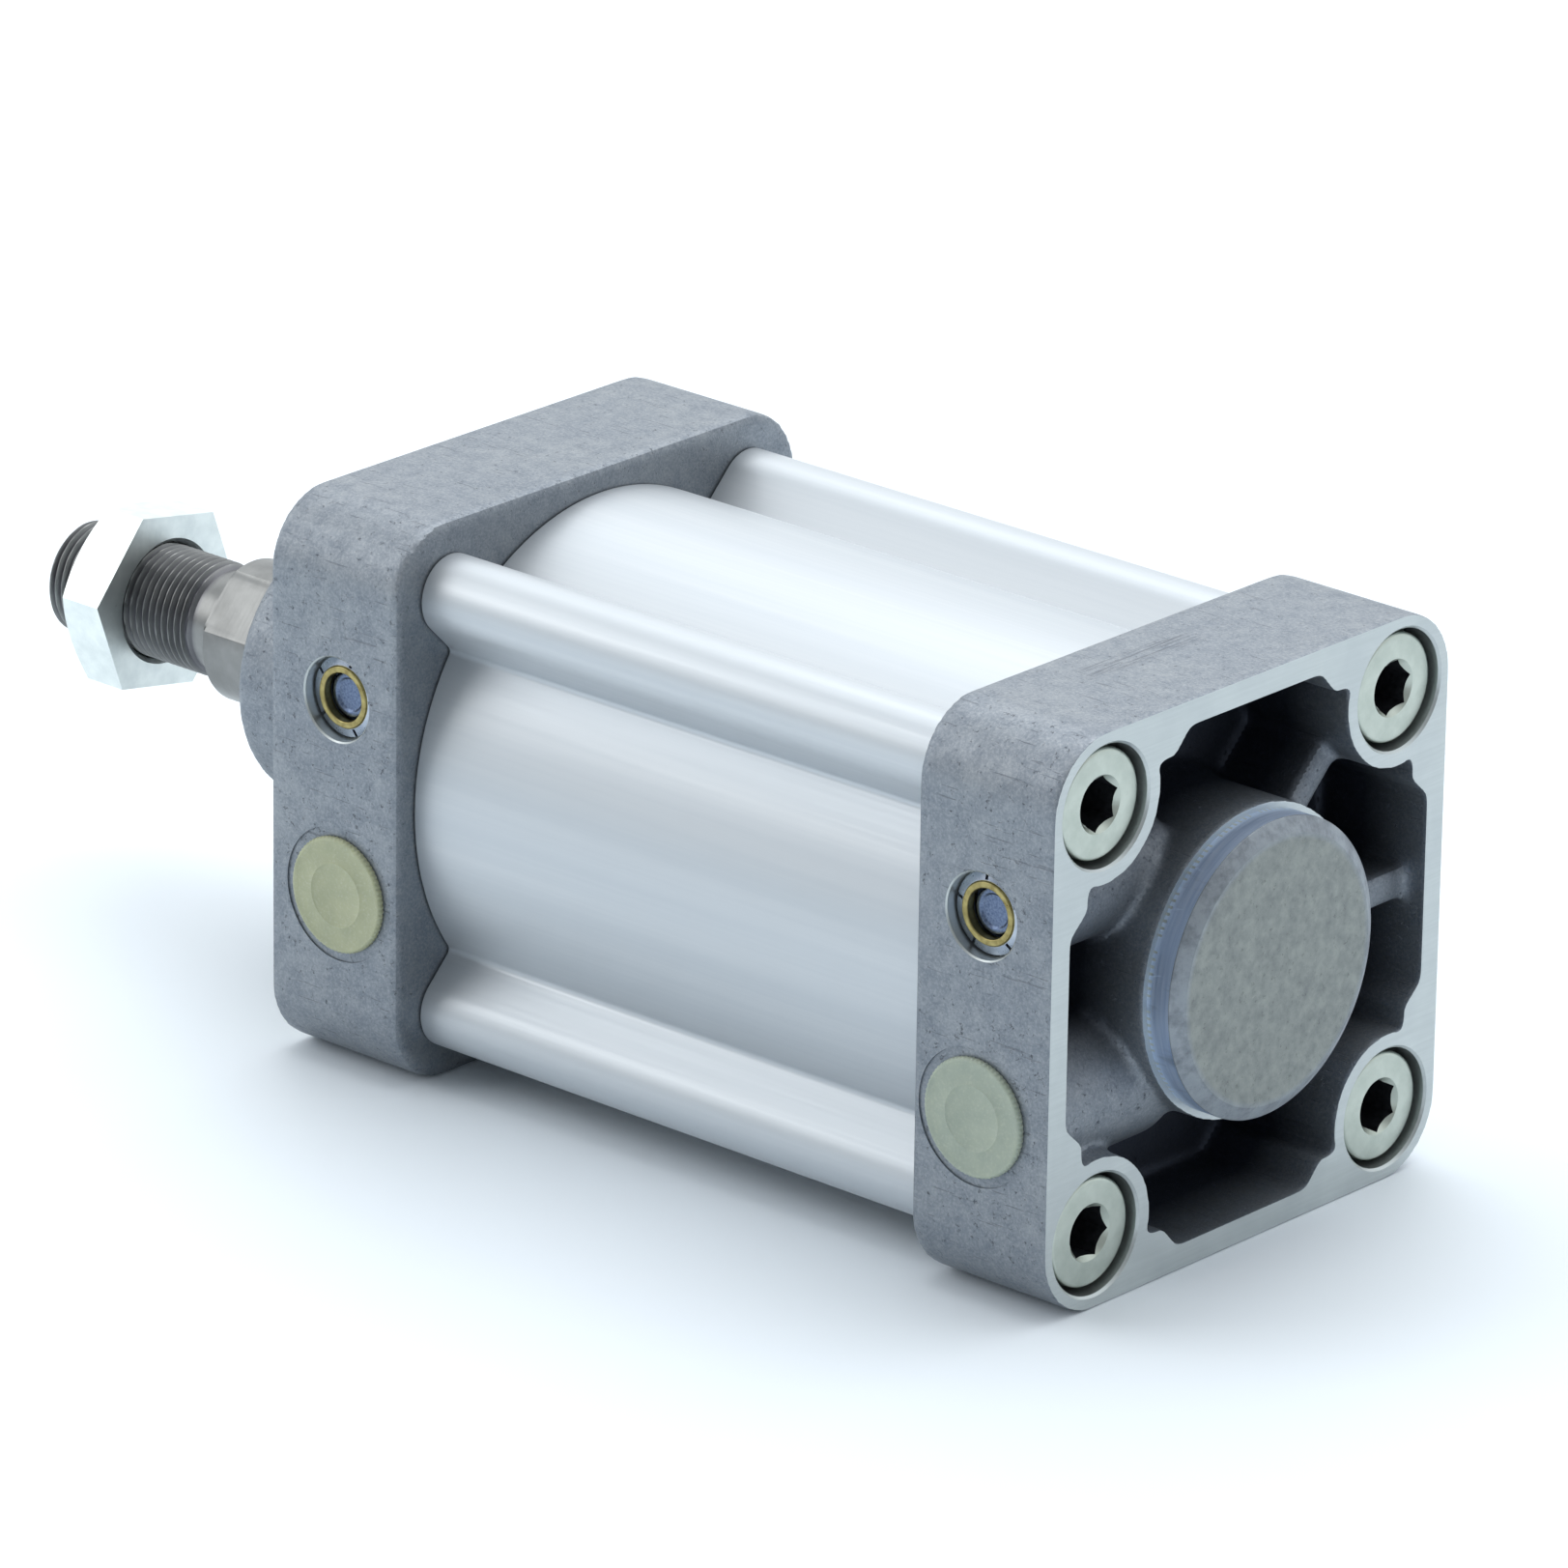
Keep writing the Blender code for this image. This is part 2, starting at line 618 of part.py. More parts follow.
def cap_screw_mesh():
    """The mesh that all the cap screws share: a cylindrical head with a hexagon socket, and a shank."""
    point = 1 * MM
    mouth_radius = 4.9 * MM
    mouth_depth = 0.8 * MM
    screw = solid("cap_screw", [
        (SCREW_HEAD_RADIUS - SCREW_HEAD_CHAMFER, 0),
        (SCREW_HEAD_RADIUS, -SCREW_HEAD_CHAMFER),
        (SCREW_HEAD_RADIUS, -SCREW_HEAD_HEIGHT),
        (SCREW_RADIUS, -SCREW_HEAD_HEIGHT),
        (SCREW_RADIUS, point - SCREW_LENGTH),
        (SCREW_RADIUS - point, -SCREW_LENGTH),
    ], ZINC, COARSE)
    key = hex_prism("screw_key_socket", SCREW_KEY, (OVERRUN, -SCREW_KEY_DEPTH), math.radians(20))
    mouth = solid("screw_key_mouth", [
        (mouth_radius + OVERRUN, OVERRUN),
        (mouth_radius, 0),
        (mouth_radius - mouth_depth, -mouth_depth),
    ], None, COARSE)
    cut(screw, key, mouth)
    freeze(screw)
    mesh = screw.data
    bpy.data.objects.remove(screw)
    return mesh


def make_cap_screws():
    """Four socket screws through each cap into the barrel's channels."""
    mesh = cap_screw_mesh()
    for name, face, outward, turn in (("rear", REAR_FACE, 1, ALONG), ("front", FRONT_FACE, -1, AGAINST)):
        for number, (across, up) in enumerate(screw_places(), 1):
            screw = bpy.data.objects.new(f"{name}_cap_screw_{number}", mesh)
            screw.rotation_euler = turn
            screw.location = (face - outward * SCREW_HEAD_RECESS, across, up)
            PARTS.objects.link(screw)


def make_port_plug(name, x_port):
    """A push-in transit plug: a flat disc over the port and a hollow stem inside it."""
    disc = 10 * MM
    disc_height = 0.8 * MM
    disc_chamfer = 0.3 * MM
    stem = PORT_RADIUS - GAP
    stem_inside = stem - 1.2 * MM
    stem_end = SIDE - 9 * MM
    freeze(solid(name, [
        (disc - disc_chamfer, SIDE + disc_height),
        (disc, SIDE + disc_height - disc_chamfer),
        (disc, SIDE),
        (stem, SIDE),
        (stem, stem_end),
        (stem_inside, stem_end),
        (stem_inside, SIDE - 1 * MM),
    ], PLUG, SEGMENTS, SIDEWAYS, (x_port, 0, PORT_HEIGHT)))


def make_needle_screw(prefix, place):
    """The cushion adjuster: a head flush with its ring, a grooved guide, and the needle's point."""
    top = SIDE - 3.1 * MM
    cap_end = SIDE - 5 * MM
    groove_start = SIDE - 7 * MM
    groove_end = SIDE - 9.4 * MM
    guide_end = SIDE - 11 * MM
    taper_start = SIDE - 17 * MM
    tip = SIDE - 19 * MM
    chamfer = 0.3 * MM
    top_radius = 3.8 * MM
    guide = NEEDLE_BORE - GAP
    groove = 3.7 * MM
    stem = 2.2 * MM
    point = 0.6 * MM
    freeze(solid(prefix + "_cushion_screw", [
        (top_radius - chamfer, top),
        (top_radius, top - chamfer),
        (top_radius, cap_end),
        (guide, cap_end),
        (guide, groove_start),
        (groove, groove_start),
        (groove, groove_end),
        (guide, groove_end),
        (guide, guide_end),
        (stem, guide_end),
        (stem, taper_start),
        (point, tip),
    ], NEEDLE_STEEL, COARSE, SIDEWAYS, place))
    middle = (groove_start + groove_end) / 2
    thickness = guide - groove - GAP
    radius = (groove + GAP + guide) / 2
    seal_place = (place[0], -middle, place[2])
    freeze(o_ring(prefix + "_cushion_screw_seal", radius, thickness, COARSE, SIDEWAYS, seal_place))


def make_retaining_ring(prefix, place):
    """The slotted brass ring that keeps a cushion adjuster in its recess."""
    outer = NEEDLE_RECESS_RADIUS - GAP
    inner = 4.1 * MM
    collar_outer = 5.2 * MM
    top = SIDE - 1.4 * MM
    step = SIDE - 1.7 * MM
    rim = SIDE - 1.9 * MM
    bottom = SIDE - 3.1 * MM
    chamfer = 0.2 * MM
    ring = turned(prefix + "_retaining_ring", [
        (inner + 2 * chamfer, top),
        (collar_outer, top),
        (collar_outer + chamfer, step),
        (outer, rim),
        (outer, bottom),
        (inner, bottom),
        (inner, step),
    ], BRASS, SEGMENTS, SIDEWAYS, place, ring=True)
    half = RING_SLOT_WIDTH / 2
    slots = []
    for number in range(RING_SLOTS):
        low = (collar_outer + 2 * chamfer, -half, bottom - OVERRUN)
        high = (outer + OVERRUN, half, top + OVERRUN)
        slot = block(f"{prefix}_ring_slot_{number}", low, high, SIDEWAYS)
        angle = RING_SLOT_ANGLE + number * 2 * math.pi / RING_SLOTS
        slot.data.transform(Matrix.Rotation(angle, 4, "Z"))
        slot.location = place
        slots.append(slot)
    cut(ring, *slots)
    freeze(ring)


def make_rod():
    """The piston rod: thread, relief, wrench flats, running length, and the thin end that ties the piston."""
    tip = ROD_SHOULDER - ROD_END_LENGTH
    thread_end = tip + ROD_THREAD_LENGTH
    tip_chamfer = 1.4 * MM
    thread_depth = 1.1 * MM
    shoulder_chamfer = 0.6 * MM
    tie_chamfer = 1 * MM
    rod = solid("piston_rod", [
        (TIE_RADIUS - tie_chamfer, PISTON_NUT_REAR),
        (TIE_RADIUS, PISTON_NUT_REAR - tie_chamfer),
        (TIE_RADIUS, SLEEVE_FRONT),
        (ROD_RADIUS, SLEEVE_FRONT),
        (ROD_RADIUS, ROD_SHOULDER + shoulder_chamfer),
        (ROD_RADIUS - shoulder_chamfer, ROD_SHOULDER),
        (THREAD_RADIUS - thread_depth, ROD_SHOULDER),
        (THREAD_RADIUS - thread_depth, thread_end + thread_depth),
        (THREAD_RADIUS, thread_end),
        (THREAD_RADIUS, tip + tip_chamfer),
        (THREAD_RADIUS - tip_chamfer, tip),
    ], ROD_STEEL)
    flats_turn = (math.radians(138), 0, 0)
    flats = []
    for side in (1, -1):
        low, high = sorted((side * ROD_FLATS / 2, side * ROD_DIAMETER))
        flats.append(block(
            f"rod_flat_{side}",
            (ROD_SHOULDER - OVERRUN, low, -ROD_RADIUS),
            (ROD_SHOULDER + ROD_FLATS_LENGTH, high, ROD_RADIUS),
            flats_turn,
        ))
    cut(rod, *flats)
    freeze(rod)


def make_nut():
    """The thin hexagon nut on the rod's thread, chamfered on both faces."""
    back = NUT_FRONT + NUT_LENGTH
    nut = hex_prism("rod_lock_nut", NUT_FLATS, (NUT_FRONT, back), NUT_CORNER, NUT_ZINC)
    rim = 0.475 * NUT_FLATS
    corner = NUT_FLATS / math.sqrt(3)
    fall = (corner - rim) * math.tan(math.radians(30))
    lens = solid("nut_lens", [
        (rim, back),
        (corner, back - fall),
        (corner, NUT_FRONT + fall),
        (rim, NUT_FRONT),
    ])
    hole = THREAD_RADIUS + GAP
    mouth = hole + NUT_CHAMFER
    bore = solid("nut_bore", [
        (mouth, back + OVERRUN),
        (mouth, back),
        (hole, back - NUT_CHAMFER),
        (hole, NUT_FRONT + NUT_CHAMFER),
        (mouth, NUT_FRONT),
        (mouth, NUT_FRONT - OVERRUN),
    ])
    change(nut, "INTERSECT", [lens])
    cut(nut, bore)
    freeze(nut)


def make_rod_guides():
    """The bush that the rod runs in, and the wiper seal in the mouth of the collar."""
    bush_ends = (WIPER_SEAT + GAP, FRONT_FACE + FRONT_CHAMBER_WALL - 2 * MM)
    freeze(tube("rod_bearing_bush", BEARING_RADIUS - GAP, RUNNING_RADIUS, bush_ends, BRONZE))
    inner = WIPER_SEAT - GAP
    mouth = COLLAR_END + 1 * MM
    lip = COLLAR_END - 0.6 * MM
    lip_root = COLLAR_END + 1.4 * MM
    hollow = COLLAR_END + 4 * MM
    outer = WIPER_SEAT_RADIUS - GAP
    lip_base = 15.2 * MM
    lip_edge = 13.6 * MM
    hollow_radius = 14 * MM
    heel = 1.5 * MM
    freeze(turned("rod_wiper_seal", [
        (outer, inner),
        (outer, mouth),
        (lip_base, mouth),
        (lip_edge, lip),
        (RUNNING_RADIUS, lip),
        (RUNNING_RADIUS, lip_root),
        (hollow_radius, hollow),
        (RUNNING_RADIUS, inner - heel),
        (RUNNING_RADIUS, inner),
    ], RUBBER, ring=True))


def make_piston_half(prefix, face, outward):
    """One half of the piston, grooved for its seal and stepped for the guide ring and the magnet."""
    half = (PISTON_LENGTH - GAP) / 2
    profile = [
        (PISTON_RADIUS - PISTON_CHAMFER, 0),
        (PISTON_RADIUS, PISTON_CHAMFER),
        (PISTON_RADIUS, SEAL_GROOVE_START),
        (SEAL_GROOVE_FLOOR, SEAL_GROOVE_START),
        (SEAL_GROOVE_FLOOR, SEAL_GROOVE_END),
        (PISTON_RADIUS, SEAL_GROOVE_END),
        (PISTON_RADIUS, GUIDE_START),
        (GUIDE_FLOOR, GUIDE_START),
        (GUIDE_FLOOR, MAGNET_START),
        (MAGNET_FLOOR, MAGNET_START),
        (MAGNET_FLOOR, half),
        (BORE_SEAL_SEAT, half),
        (BORE_SEAL_SEAT, half - BORE_SEAL_DEPTH),
        (TIE_HOLE_RADIUS, half - BORE_SEAL_DEPTH),
        (TIE_HOLE_RADIUS, 0),
    ]
    freeze(turned(prefix + "_piston_half", facing(face, outward, profile), PISTON, ring=True))


def make_piston_seal(prefix, face, outward):
    """A lip seal, hollow on the side that the air pushes on."""
    start = SEAL_GROOVE_START + GROOVE_CLEARANCE
    end = SEAL_GROOVE_END - GROOVE_CLEARANCE
    hollow = start + 3.4 * MM
    heel = SEAL_GROOVE_FLOOR + GAP
    profile = [
        (FIT_RADIUS, start),
        (PISTON_RADIUS, end),
        (heel, end),
        (heel, start),
        (heel + 1 * MM, start),
        (heel + 2.7 * MM, hollow),
        (FIT_RADIUS - 2.3 * MM, hollow),
        (FIT_RADIUS - 0.8 * MM, start),
    ]
    freeze(turned(prefix + "_piston_seal", facing(face, outward, profile), RUBBER, ring=True))


def make_cushion_sleeve(prefix, face, outward):
    """The sleeve that closes the cushion chamber, tapered on the end that enters the cap."""
    tip = face + outward * (SLEEVE_LENGTH - GAP)
    length = SLEEVE_LENGTH - 2 * GAP
    profile = [
        (SLEEVE_RADIUS - SLEEVE_TAPER, 0),
        (SLEEVE_RADIUS, SLEEVE_TAPER_LENGTH),
        (SLEEVE_RADIUS, length),
        (TIE_HOLE_RADIUS, length),
        (TIE_HOLE_RADIUS, 0),
    ]
    freeze(turned(prefix + "_cushion_sleeve", facing(tip, outward, profile), PISTON, ring=True))


def make_piston_rings():
    """The guide ring, the magnet ring and the bore seal, all across the piston's middle plane."""
    middle = (PISTON_REAR + PISTON_FRONT) / 2
    guide = PISTON_LENGTH / 2 - GUIDE_START - GROOVE_CLEARANCE
    guide_ends = (middle - guide, middle + guide)
    freeze(tube("piston_guide_ring", FIT_RADIUS, GUIDE_FLOOR + GAP, guide_ends, GUIDE))
    magnet = PISTON_LENGTH / 2 - MAGNET_START - GROOVE_CLEARANCE
    magnet_ends = (middle - magnet, middle + magnet)
    freeze(tube("piston_magnet_ring", GUIDE_FLOOR - GAP, MAGNET_FLOOR + GAP, magnet_ends, MAGNET))
    seal_middle = (TIE_HOLE_RADIUS + BORE_SEAL_SEAT - GAP) / 2
    seal_place = (middle, 0, 0)
    freeze(o_ring("piston_bore_seal", seal_middle, BORE_SEAL_THICKNESS, COARSE, ALONG, seal_place))


def make_piston_nut():
    """The nut that clamps the piston on the rod's thin end, behind the rear sleeve."""
    ends = (PISTON_NUT_REAR - PISTON_NUT_LENGTH, PISTON_NUT_REAR)
    nut = hex_prism("piston_nut", PISTON_NUT_FLATS, ends, 0, NUT_ZINC)
    hole_ends = (ends[0] - OVERRUN, ends[1] + OVERRUN)
    cut(nut, cylinder("piston_nut_bore", TIE_HOLE_RADIUS, hole_ends))
    freeze(nut)


def make_cap_seals(prefix, inner_plane, outward):
    """The ring between a cap's spigot and the barrel, and the cap's cushion seal."""
    groove = inner_plane - outward * RING_GROOVE_OFFSET
    ring_thickness = 2.8 * MM
    ring_middle = RING_GROOVE_FLOOR + GAP + ring_thickness / 2
    freeze(o_ring(prefix + "_barrel_seal", ring_middle, ring_thickness, place=(groove, 0, 0)))
    end = inner_plane - outward * SPIGOT_LENGTH
    ends = (end + outward * GAP, end + outward * (CUSHION_SEAT_DEPTH - GAP))
    outer = CUSHION_SEAT_RADIUS - GAP
    freeze(tube(prefix + "_cushion_seal", outer, CUSHION_SEAL_RADIUS, ends, RUBBER))


def main():
    make_barrel()
    make_rear_cap()
    make_front_cap()
    make_cap_screws()
    for prefix, face, outward in (("rear", REAR_FACE, 1), ("front", FRONT_FACE, -1)):
        make_port_plug(prefix + "_port_plug", face - outward * PORT_OFFSET)
        needle_place = (face - outward * NEEDLE_OFFSET, 0, NEEDLE_HEIGHT)
        make_needle_screw(prefix, needle_place)
        make_retaining_ring(prefix, needle_place)
        make_cap_seals(prefix, face - outward * CAP_LENGTH, outward)
    make_rod()
    make_nut()
    make_rod_guides()
    for prefix, face, outward in (("rear", PISTON_REAR, 1), ("front", PISTON_FRONT, -1)):
        make_piston_half(prefix, face, outward)
        make_piston_seal(prefix, face, outward)
        make_cushion_sleeve(prefix, face, outward)
    make_piston_rings()
    make_piston_nut()


main()
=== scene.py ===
import json
import math

import bmesh
import bpy
from mathutils import Euler, Matrix, Quaternion, Vector


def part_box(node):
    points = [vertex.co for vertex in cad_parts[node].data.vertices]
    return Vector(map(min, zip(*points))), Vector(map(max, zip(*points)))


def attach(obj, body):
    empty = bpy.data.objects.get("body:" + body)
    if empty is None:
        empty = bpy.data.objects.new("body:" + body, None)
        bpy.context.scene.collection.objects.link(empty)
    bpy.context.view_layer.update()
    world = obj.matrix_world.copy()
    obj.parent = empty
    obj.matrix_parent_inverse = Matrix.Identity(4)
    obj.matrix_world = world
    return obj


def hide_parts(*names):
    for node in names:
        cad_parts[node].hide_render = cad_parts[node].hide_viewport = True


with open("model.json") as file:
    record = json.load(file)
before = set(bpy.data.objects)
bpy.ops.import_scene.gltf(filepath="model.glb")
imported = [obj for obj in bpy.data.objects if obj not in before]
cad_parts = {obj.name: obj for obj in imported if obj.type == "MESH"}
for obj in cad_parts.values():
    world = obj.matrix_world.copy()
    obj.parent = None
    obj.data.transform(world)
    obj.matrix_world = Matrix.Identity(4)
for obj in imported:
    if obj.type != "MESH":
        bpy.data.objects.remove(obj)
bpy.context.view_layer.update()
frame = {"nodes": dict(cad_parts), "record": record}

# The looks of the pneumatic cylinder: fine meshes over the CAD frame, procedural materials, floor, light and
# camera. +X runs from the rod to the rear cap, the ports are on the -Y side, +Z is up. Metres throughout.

MM = 0.001
TURN = 2 * math.pi
GAP = 0.3 * MM
OVERRUN = 1 * MM


def middle(node):
    """The middle of a CAD node's box."""
    low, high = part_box(node)
    return (low + high) / 2


# Places read from the frame
MOUNTS = {mount["name"]: Vector(mount["pos_m"]) for mount in frame["record"]["mounts"]}
REAR_FACE = MOUNTS["rear_mounting_face"].x
FRONT_FACE = MOUNTS["front_mounting_face"].x
REAR_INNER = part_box("barrel")[1].x + GAP
HALF_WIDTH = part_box("rear_cap")[1].y
SCREW_SQUARE = middle("rear_cap_screw_1").y
PORT_HEIGHT = middle("rear_port_plug").z
NEEDLE_HEIGHT = middle("rear_cushion_screw").z
REAR_SPIGOT_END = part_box("rear_cap")[0].x
FRONT_SPIGOT_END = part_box("front_cap")[1].x
COLLAR_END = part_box("front_cap")[0].x
ROD_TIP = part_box("piston_rod")[0].x
BORE_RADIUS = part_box("piston_guide_ring")[1].y + GAP
SCREW_HEAD_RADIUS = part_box("rear_cap_screw_1")[1].y - SCREW_SQUARE
MID_PLANE = (REAR_FACE + FRONT_FACE) / 2
HALF_LENGTH = (REAR_FACE - FRONT_FACE) / 2

# Sizes of the caps' castings
CAP_CORNER = 12.2 * MM
POCKET_DEPTH = 22 * MM
POCKET_WALL = 44 * MM
POCKET_SHELF = 40 * MM
POCKET_FLAT = 16 * MM
POCKET_STEP = 19.5 * MM
SCREW_BOSS = 13 * MM
PORT_BOSS = 12.5 * MM
NEEDLE_BOSS = 9.5 * MM
CAST_VOXEL = 0.8 * MM
ALLOWANCE = 0.8 * MM
REAR_BOSS_RADIUS = 25 * MM
REAR_BOSS_FACE = 22.5 * MM
REAR_BOSS_BEVEL = 1.5 * MM
COLLAR_RADIUS = 24 * MM
HEAD_DEPTH = 11.6 * MM
CHANNEL_RADIUS = 5.3 * MM
SPOT_RADIUS = 11.65 * MM
SPOT_DEPTH = 0.3 * MM
PORT_RADIUS = 8.33 * MM
PORT_PASSAGE = 5 * MM
RECESS_RADIUS = 7.2 * MM
RECESS_DEPTH = 3.4 * MM
NEEDLE_RADIUS = 5.5 * MM
NEEDLE_PASSAGE = 2.6 * MM
CHAMBER_RADIUS = 17 * MM
SEAL_SEAT_RADIUS = 20.3 * MM
SEAL_SEAT_LENGTH = 7 * MM
BUSH_RADIUS = 16.1 * MM
WIPER_RADIUS = 18.3 * MM
WIPER_DEPTH = 10 * MM
GROOVE_RADIUS = 36.6 * MM
GROOVE_HALF_WIDTH = 1.8 * MM
MILL_RADIUS = 80 * MM

# Directions of a piece whose own Z axis runs along +X, along -X, or out of the ports' side
REARWARD = (math.pi / 2, 0, math.pi / 2)
FORWARD = (math.pi / 2, 0, -math.pi / 2)
SIDEWAYS = (math.pi / 2, 0, 0)


# ---- camera

AIM = Vector((-0.10606, 0.0015, 0.00306))
DISTANCE = 1.90202
AZIMUTH = math.radians(41.55)
ELEVATION = math.radians(20.831)
ROLL = math.radians(0.837)
LENS_MM = 267.22
SENSOR_MM = 36


def make_camera():
    """A long lens from the ports' side and a little above."""
    back = Vector((
        math.sin(AZIMUTH) * math.cos(ELEVATION),
        -math.cos(AZIMUTH) * math.cos(ELEVATION),
        math.sin(ELEVATION),
    ))
    data = bpy.data.cameras.new("camera")
    data.lens = LENS_MM
    data.sensor_width = SENSOR_MM
    data.clip_start = 0.05
    data.clip_end = 50
    camera = bpy.data.objects.new("camera", data)
    camera.location = AIM + back * DISTANCE
    camera.rotation_mode = "QUATERNION"
    camera.rotation_quaternion = (-back).to_track_quat("-Z", "Y") @ Quaternion((0, 0, 1), ROLL)
    bpy.context.scene.collection.objects.link(camera)
    bpy.context.scene.camera = camera


# ---- materials

def linear(red, green, blue):
    """A display colour of 0 to 255 a channel as the linear values a shader takes."""
    values = []
    for channel in (red, green, blue):
        share = channel / 255
        values.append(share / 12.92 if share <= 0.04045 else ((share + 0.055) / 1.055) ** 2.4)
    return (*values, 1)


class Finish:
    """A Principled material and short ways to build the nodes that vary it over the piece."""

    def __init__(self, name, metallic=0.0, roughness=0.5):
        self.material = bpy.data.materials.new(name)
        self.material.use_nodes = True
        self.tree = self.material.node_tree
        self.shader = self.tree.nodes["Principled BSDF"]
        self.shader.inputs["Metallic"].default_value = metallic
        self.shader.inputs["Roughness"].default_value = roughness
        self.place = self.tree.nodes.new("ShaderNodeTexCoord").outputs["Object"]

    def node(self, kind, **settings):
        made = self.tree.nodes.new(kind)
        for key, value in settings.items():
            setattr(made, key, value)
        return made

    def put(self, socket, value):
        """Link a socket to another, or set its number or colour."""
        if isinstance(value, bpy.types.NodeSocket):
            self.tree.links.new(value, socket)
        else:
            socket.default_value = value

    def noise(self, size, stretch=(1, 1, 1), detail=3.0, rough=0.55, shift=0.0, turn=(0, 0, 0)):
        """Cloudy noise from 0 to 1 whose blobs are about one size across, in metres."""
        mapping = self.node("ShaderNodeMapping", vector_type="POINT")
        mapping.inputs["Rotation"].default_value = turn
        self.put(mapping.inputs["Vector"], self.place)
        mapping.inputs["Scale"].default_value = stretch
        mapping.inputs["Location"].default_value = (shift, shift, shift)
        texture = self.node("ShaderNodeTexNoise")
        self.put(texture.inputs["Vector"], mapping.outputs["Vector"])
        texture.inputs["Scale"].default_value = 1 / size
        texture.inputs["Detail"].default_value = detail
        texture.inputs["Roughness"].default_value = rough
        return texture.outputs["Fac"]

    def reach(self, value, low, high, bottom=0.0, top=1.0):
        """The value's span from low to high brought to the span from bottom to top."""
        span = self.node("ShaderNodeMapRange")
        self.put(span.inputs["Value"], value)
        span.inputs["From Min"].default_value = low
        span.inputs["From Max"].default_value = high
        span.inputs["To Min"].default_value = bottom
        span.inputs["To Max"].default_value = top
        return span.outputs["Result"]

    def maths(self, operation, first, second=0.0):
        made = self.node("ShaderNodeMath", operation=operation)
        self.put(made.inputs[0], first)
        self.put(made.inputs[1], second)
        return made.outputs["Value"]

    def axis(self, name):
        """One of the three coordinates of the place on the piece."""
        split = self.node("ShaderNodeSeparateXYZ")
        self.put(split.inputs["Vector"], self.place)
        return split.outputs[name]

    def radius_about_x(self):
        """The distance from the cylinder's axis."""
        across = self.maths("POWER", self.axis("Y"), 2.0)
        up = self.maths("POWER", self.axis("Z"), 2.0)
        return self.maths("SQRT", self.maths("ADD", across, up))

    def blend(self, share, first, second):
        mix = self.node("ShaderNodeMix", data_type="RGBA")
        self.put(mix.inputs["Factor"], share)
        self.put(mix.inputs[6], first)
        self.put(mix.inputs[7], second)
        return mix.outputs[2]

    def cover(self, colour, share, most, over):
        """The colour with another laid over it, by a share from 0 to 1 of the most it may hide."""
        return self.blend(self.maths("MULTIPLY", share, most), colour, over)

    def bump(self, height, depth, below=None):
        """Relief of the given depth in metres, over an earlier relief."""
        relief = self.node("ShaderNodeBump")
        relief.inputs["Strength"].default_value = 1.0
        relief.inputs["Distance"].default_value = depth
        self.put(relief.inputs["Height"], height)
        if below is not None:
            self.put(relief.inputs["Normal"], below)
        return relief.outputs["Normal"]

    def finish(self, colour, roughness=None, normal=None):
        self.put(self.shader.inputs["Base Color"], colour)
        if roughness is not None:
            self.put(self.shader.inputs["Roughness"], roughness)
        if normal is not None:
            self.put(self.shader.inputs["Normal"], normal)
        return self.material


def pocket_shade_mask(look):
    """Painted shade in a cap's open pocket, by how deep a place lies: 0 outside and on the rim, 1 near its
    floor.
    """
    along_axis = look.maths("ABSOLUTE", look.maths("SUBTRACT", look.axis("X"), MID_PLANE))
    depth = look.reach(along_axis, HALF_LENGTH - 1.5 * MM, HALF_LENGTH - 13 * MM)
    sideways = look.maths("ABSOLUTE", look.axis("Y"))
    upwards = look.maths("ABSOLUTE", look.axis("Z"))
    across = look.maths("MAXIMUM", sideways, upwards)
    inside = look.reach(across, POCKET_WALL + 0.2 * MM, POCKET_WALL + 0.7 * MM, 1.0, 0.0)
    outer_half = look.reach(along_axis, HALF_LENGTH - 26 * MM, HALF_LENGTH - 24 * MM)
    return look.maths("MULTIPLY", look.maths("MULTIPLY", depth, inside), outer_half)


def rubbed_patch(look):
    """Where the top of the rear cap was rubbed: 1 in an oblong of its upper face, fading out."""
    on_top = look.reach(look.axis("Z"), HALF_WIDTH - 0.4 * MM, HALF_WIDTH - 0.1 * MM)
    x_off = look.maths("ABSOLUTE", look.maths("SUBTRACT", look.axis("X"), REAR_FACE - 19 * MM))
    y_off = look.maths("ABSOLUTE", look.maths("SUBTRACT", look.axis("Y"), -6 * MM))
    across = look.reach(x_off, 1.6 * MM, 3.2 * MM, 1.0, 0.0)
    length = look.reach(y_off, 11 * MM, 14 * MM, 1.0, 0.0)
    return look.maths("MULTIPLY", look.maths("MULTIPLY", across, length), on_top)


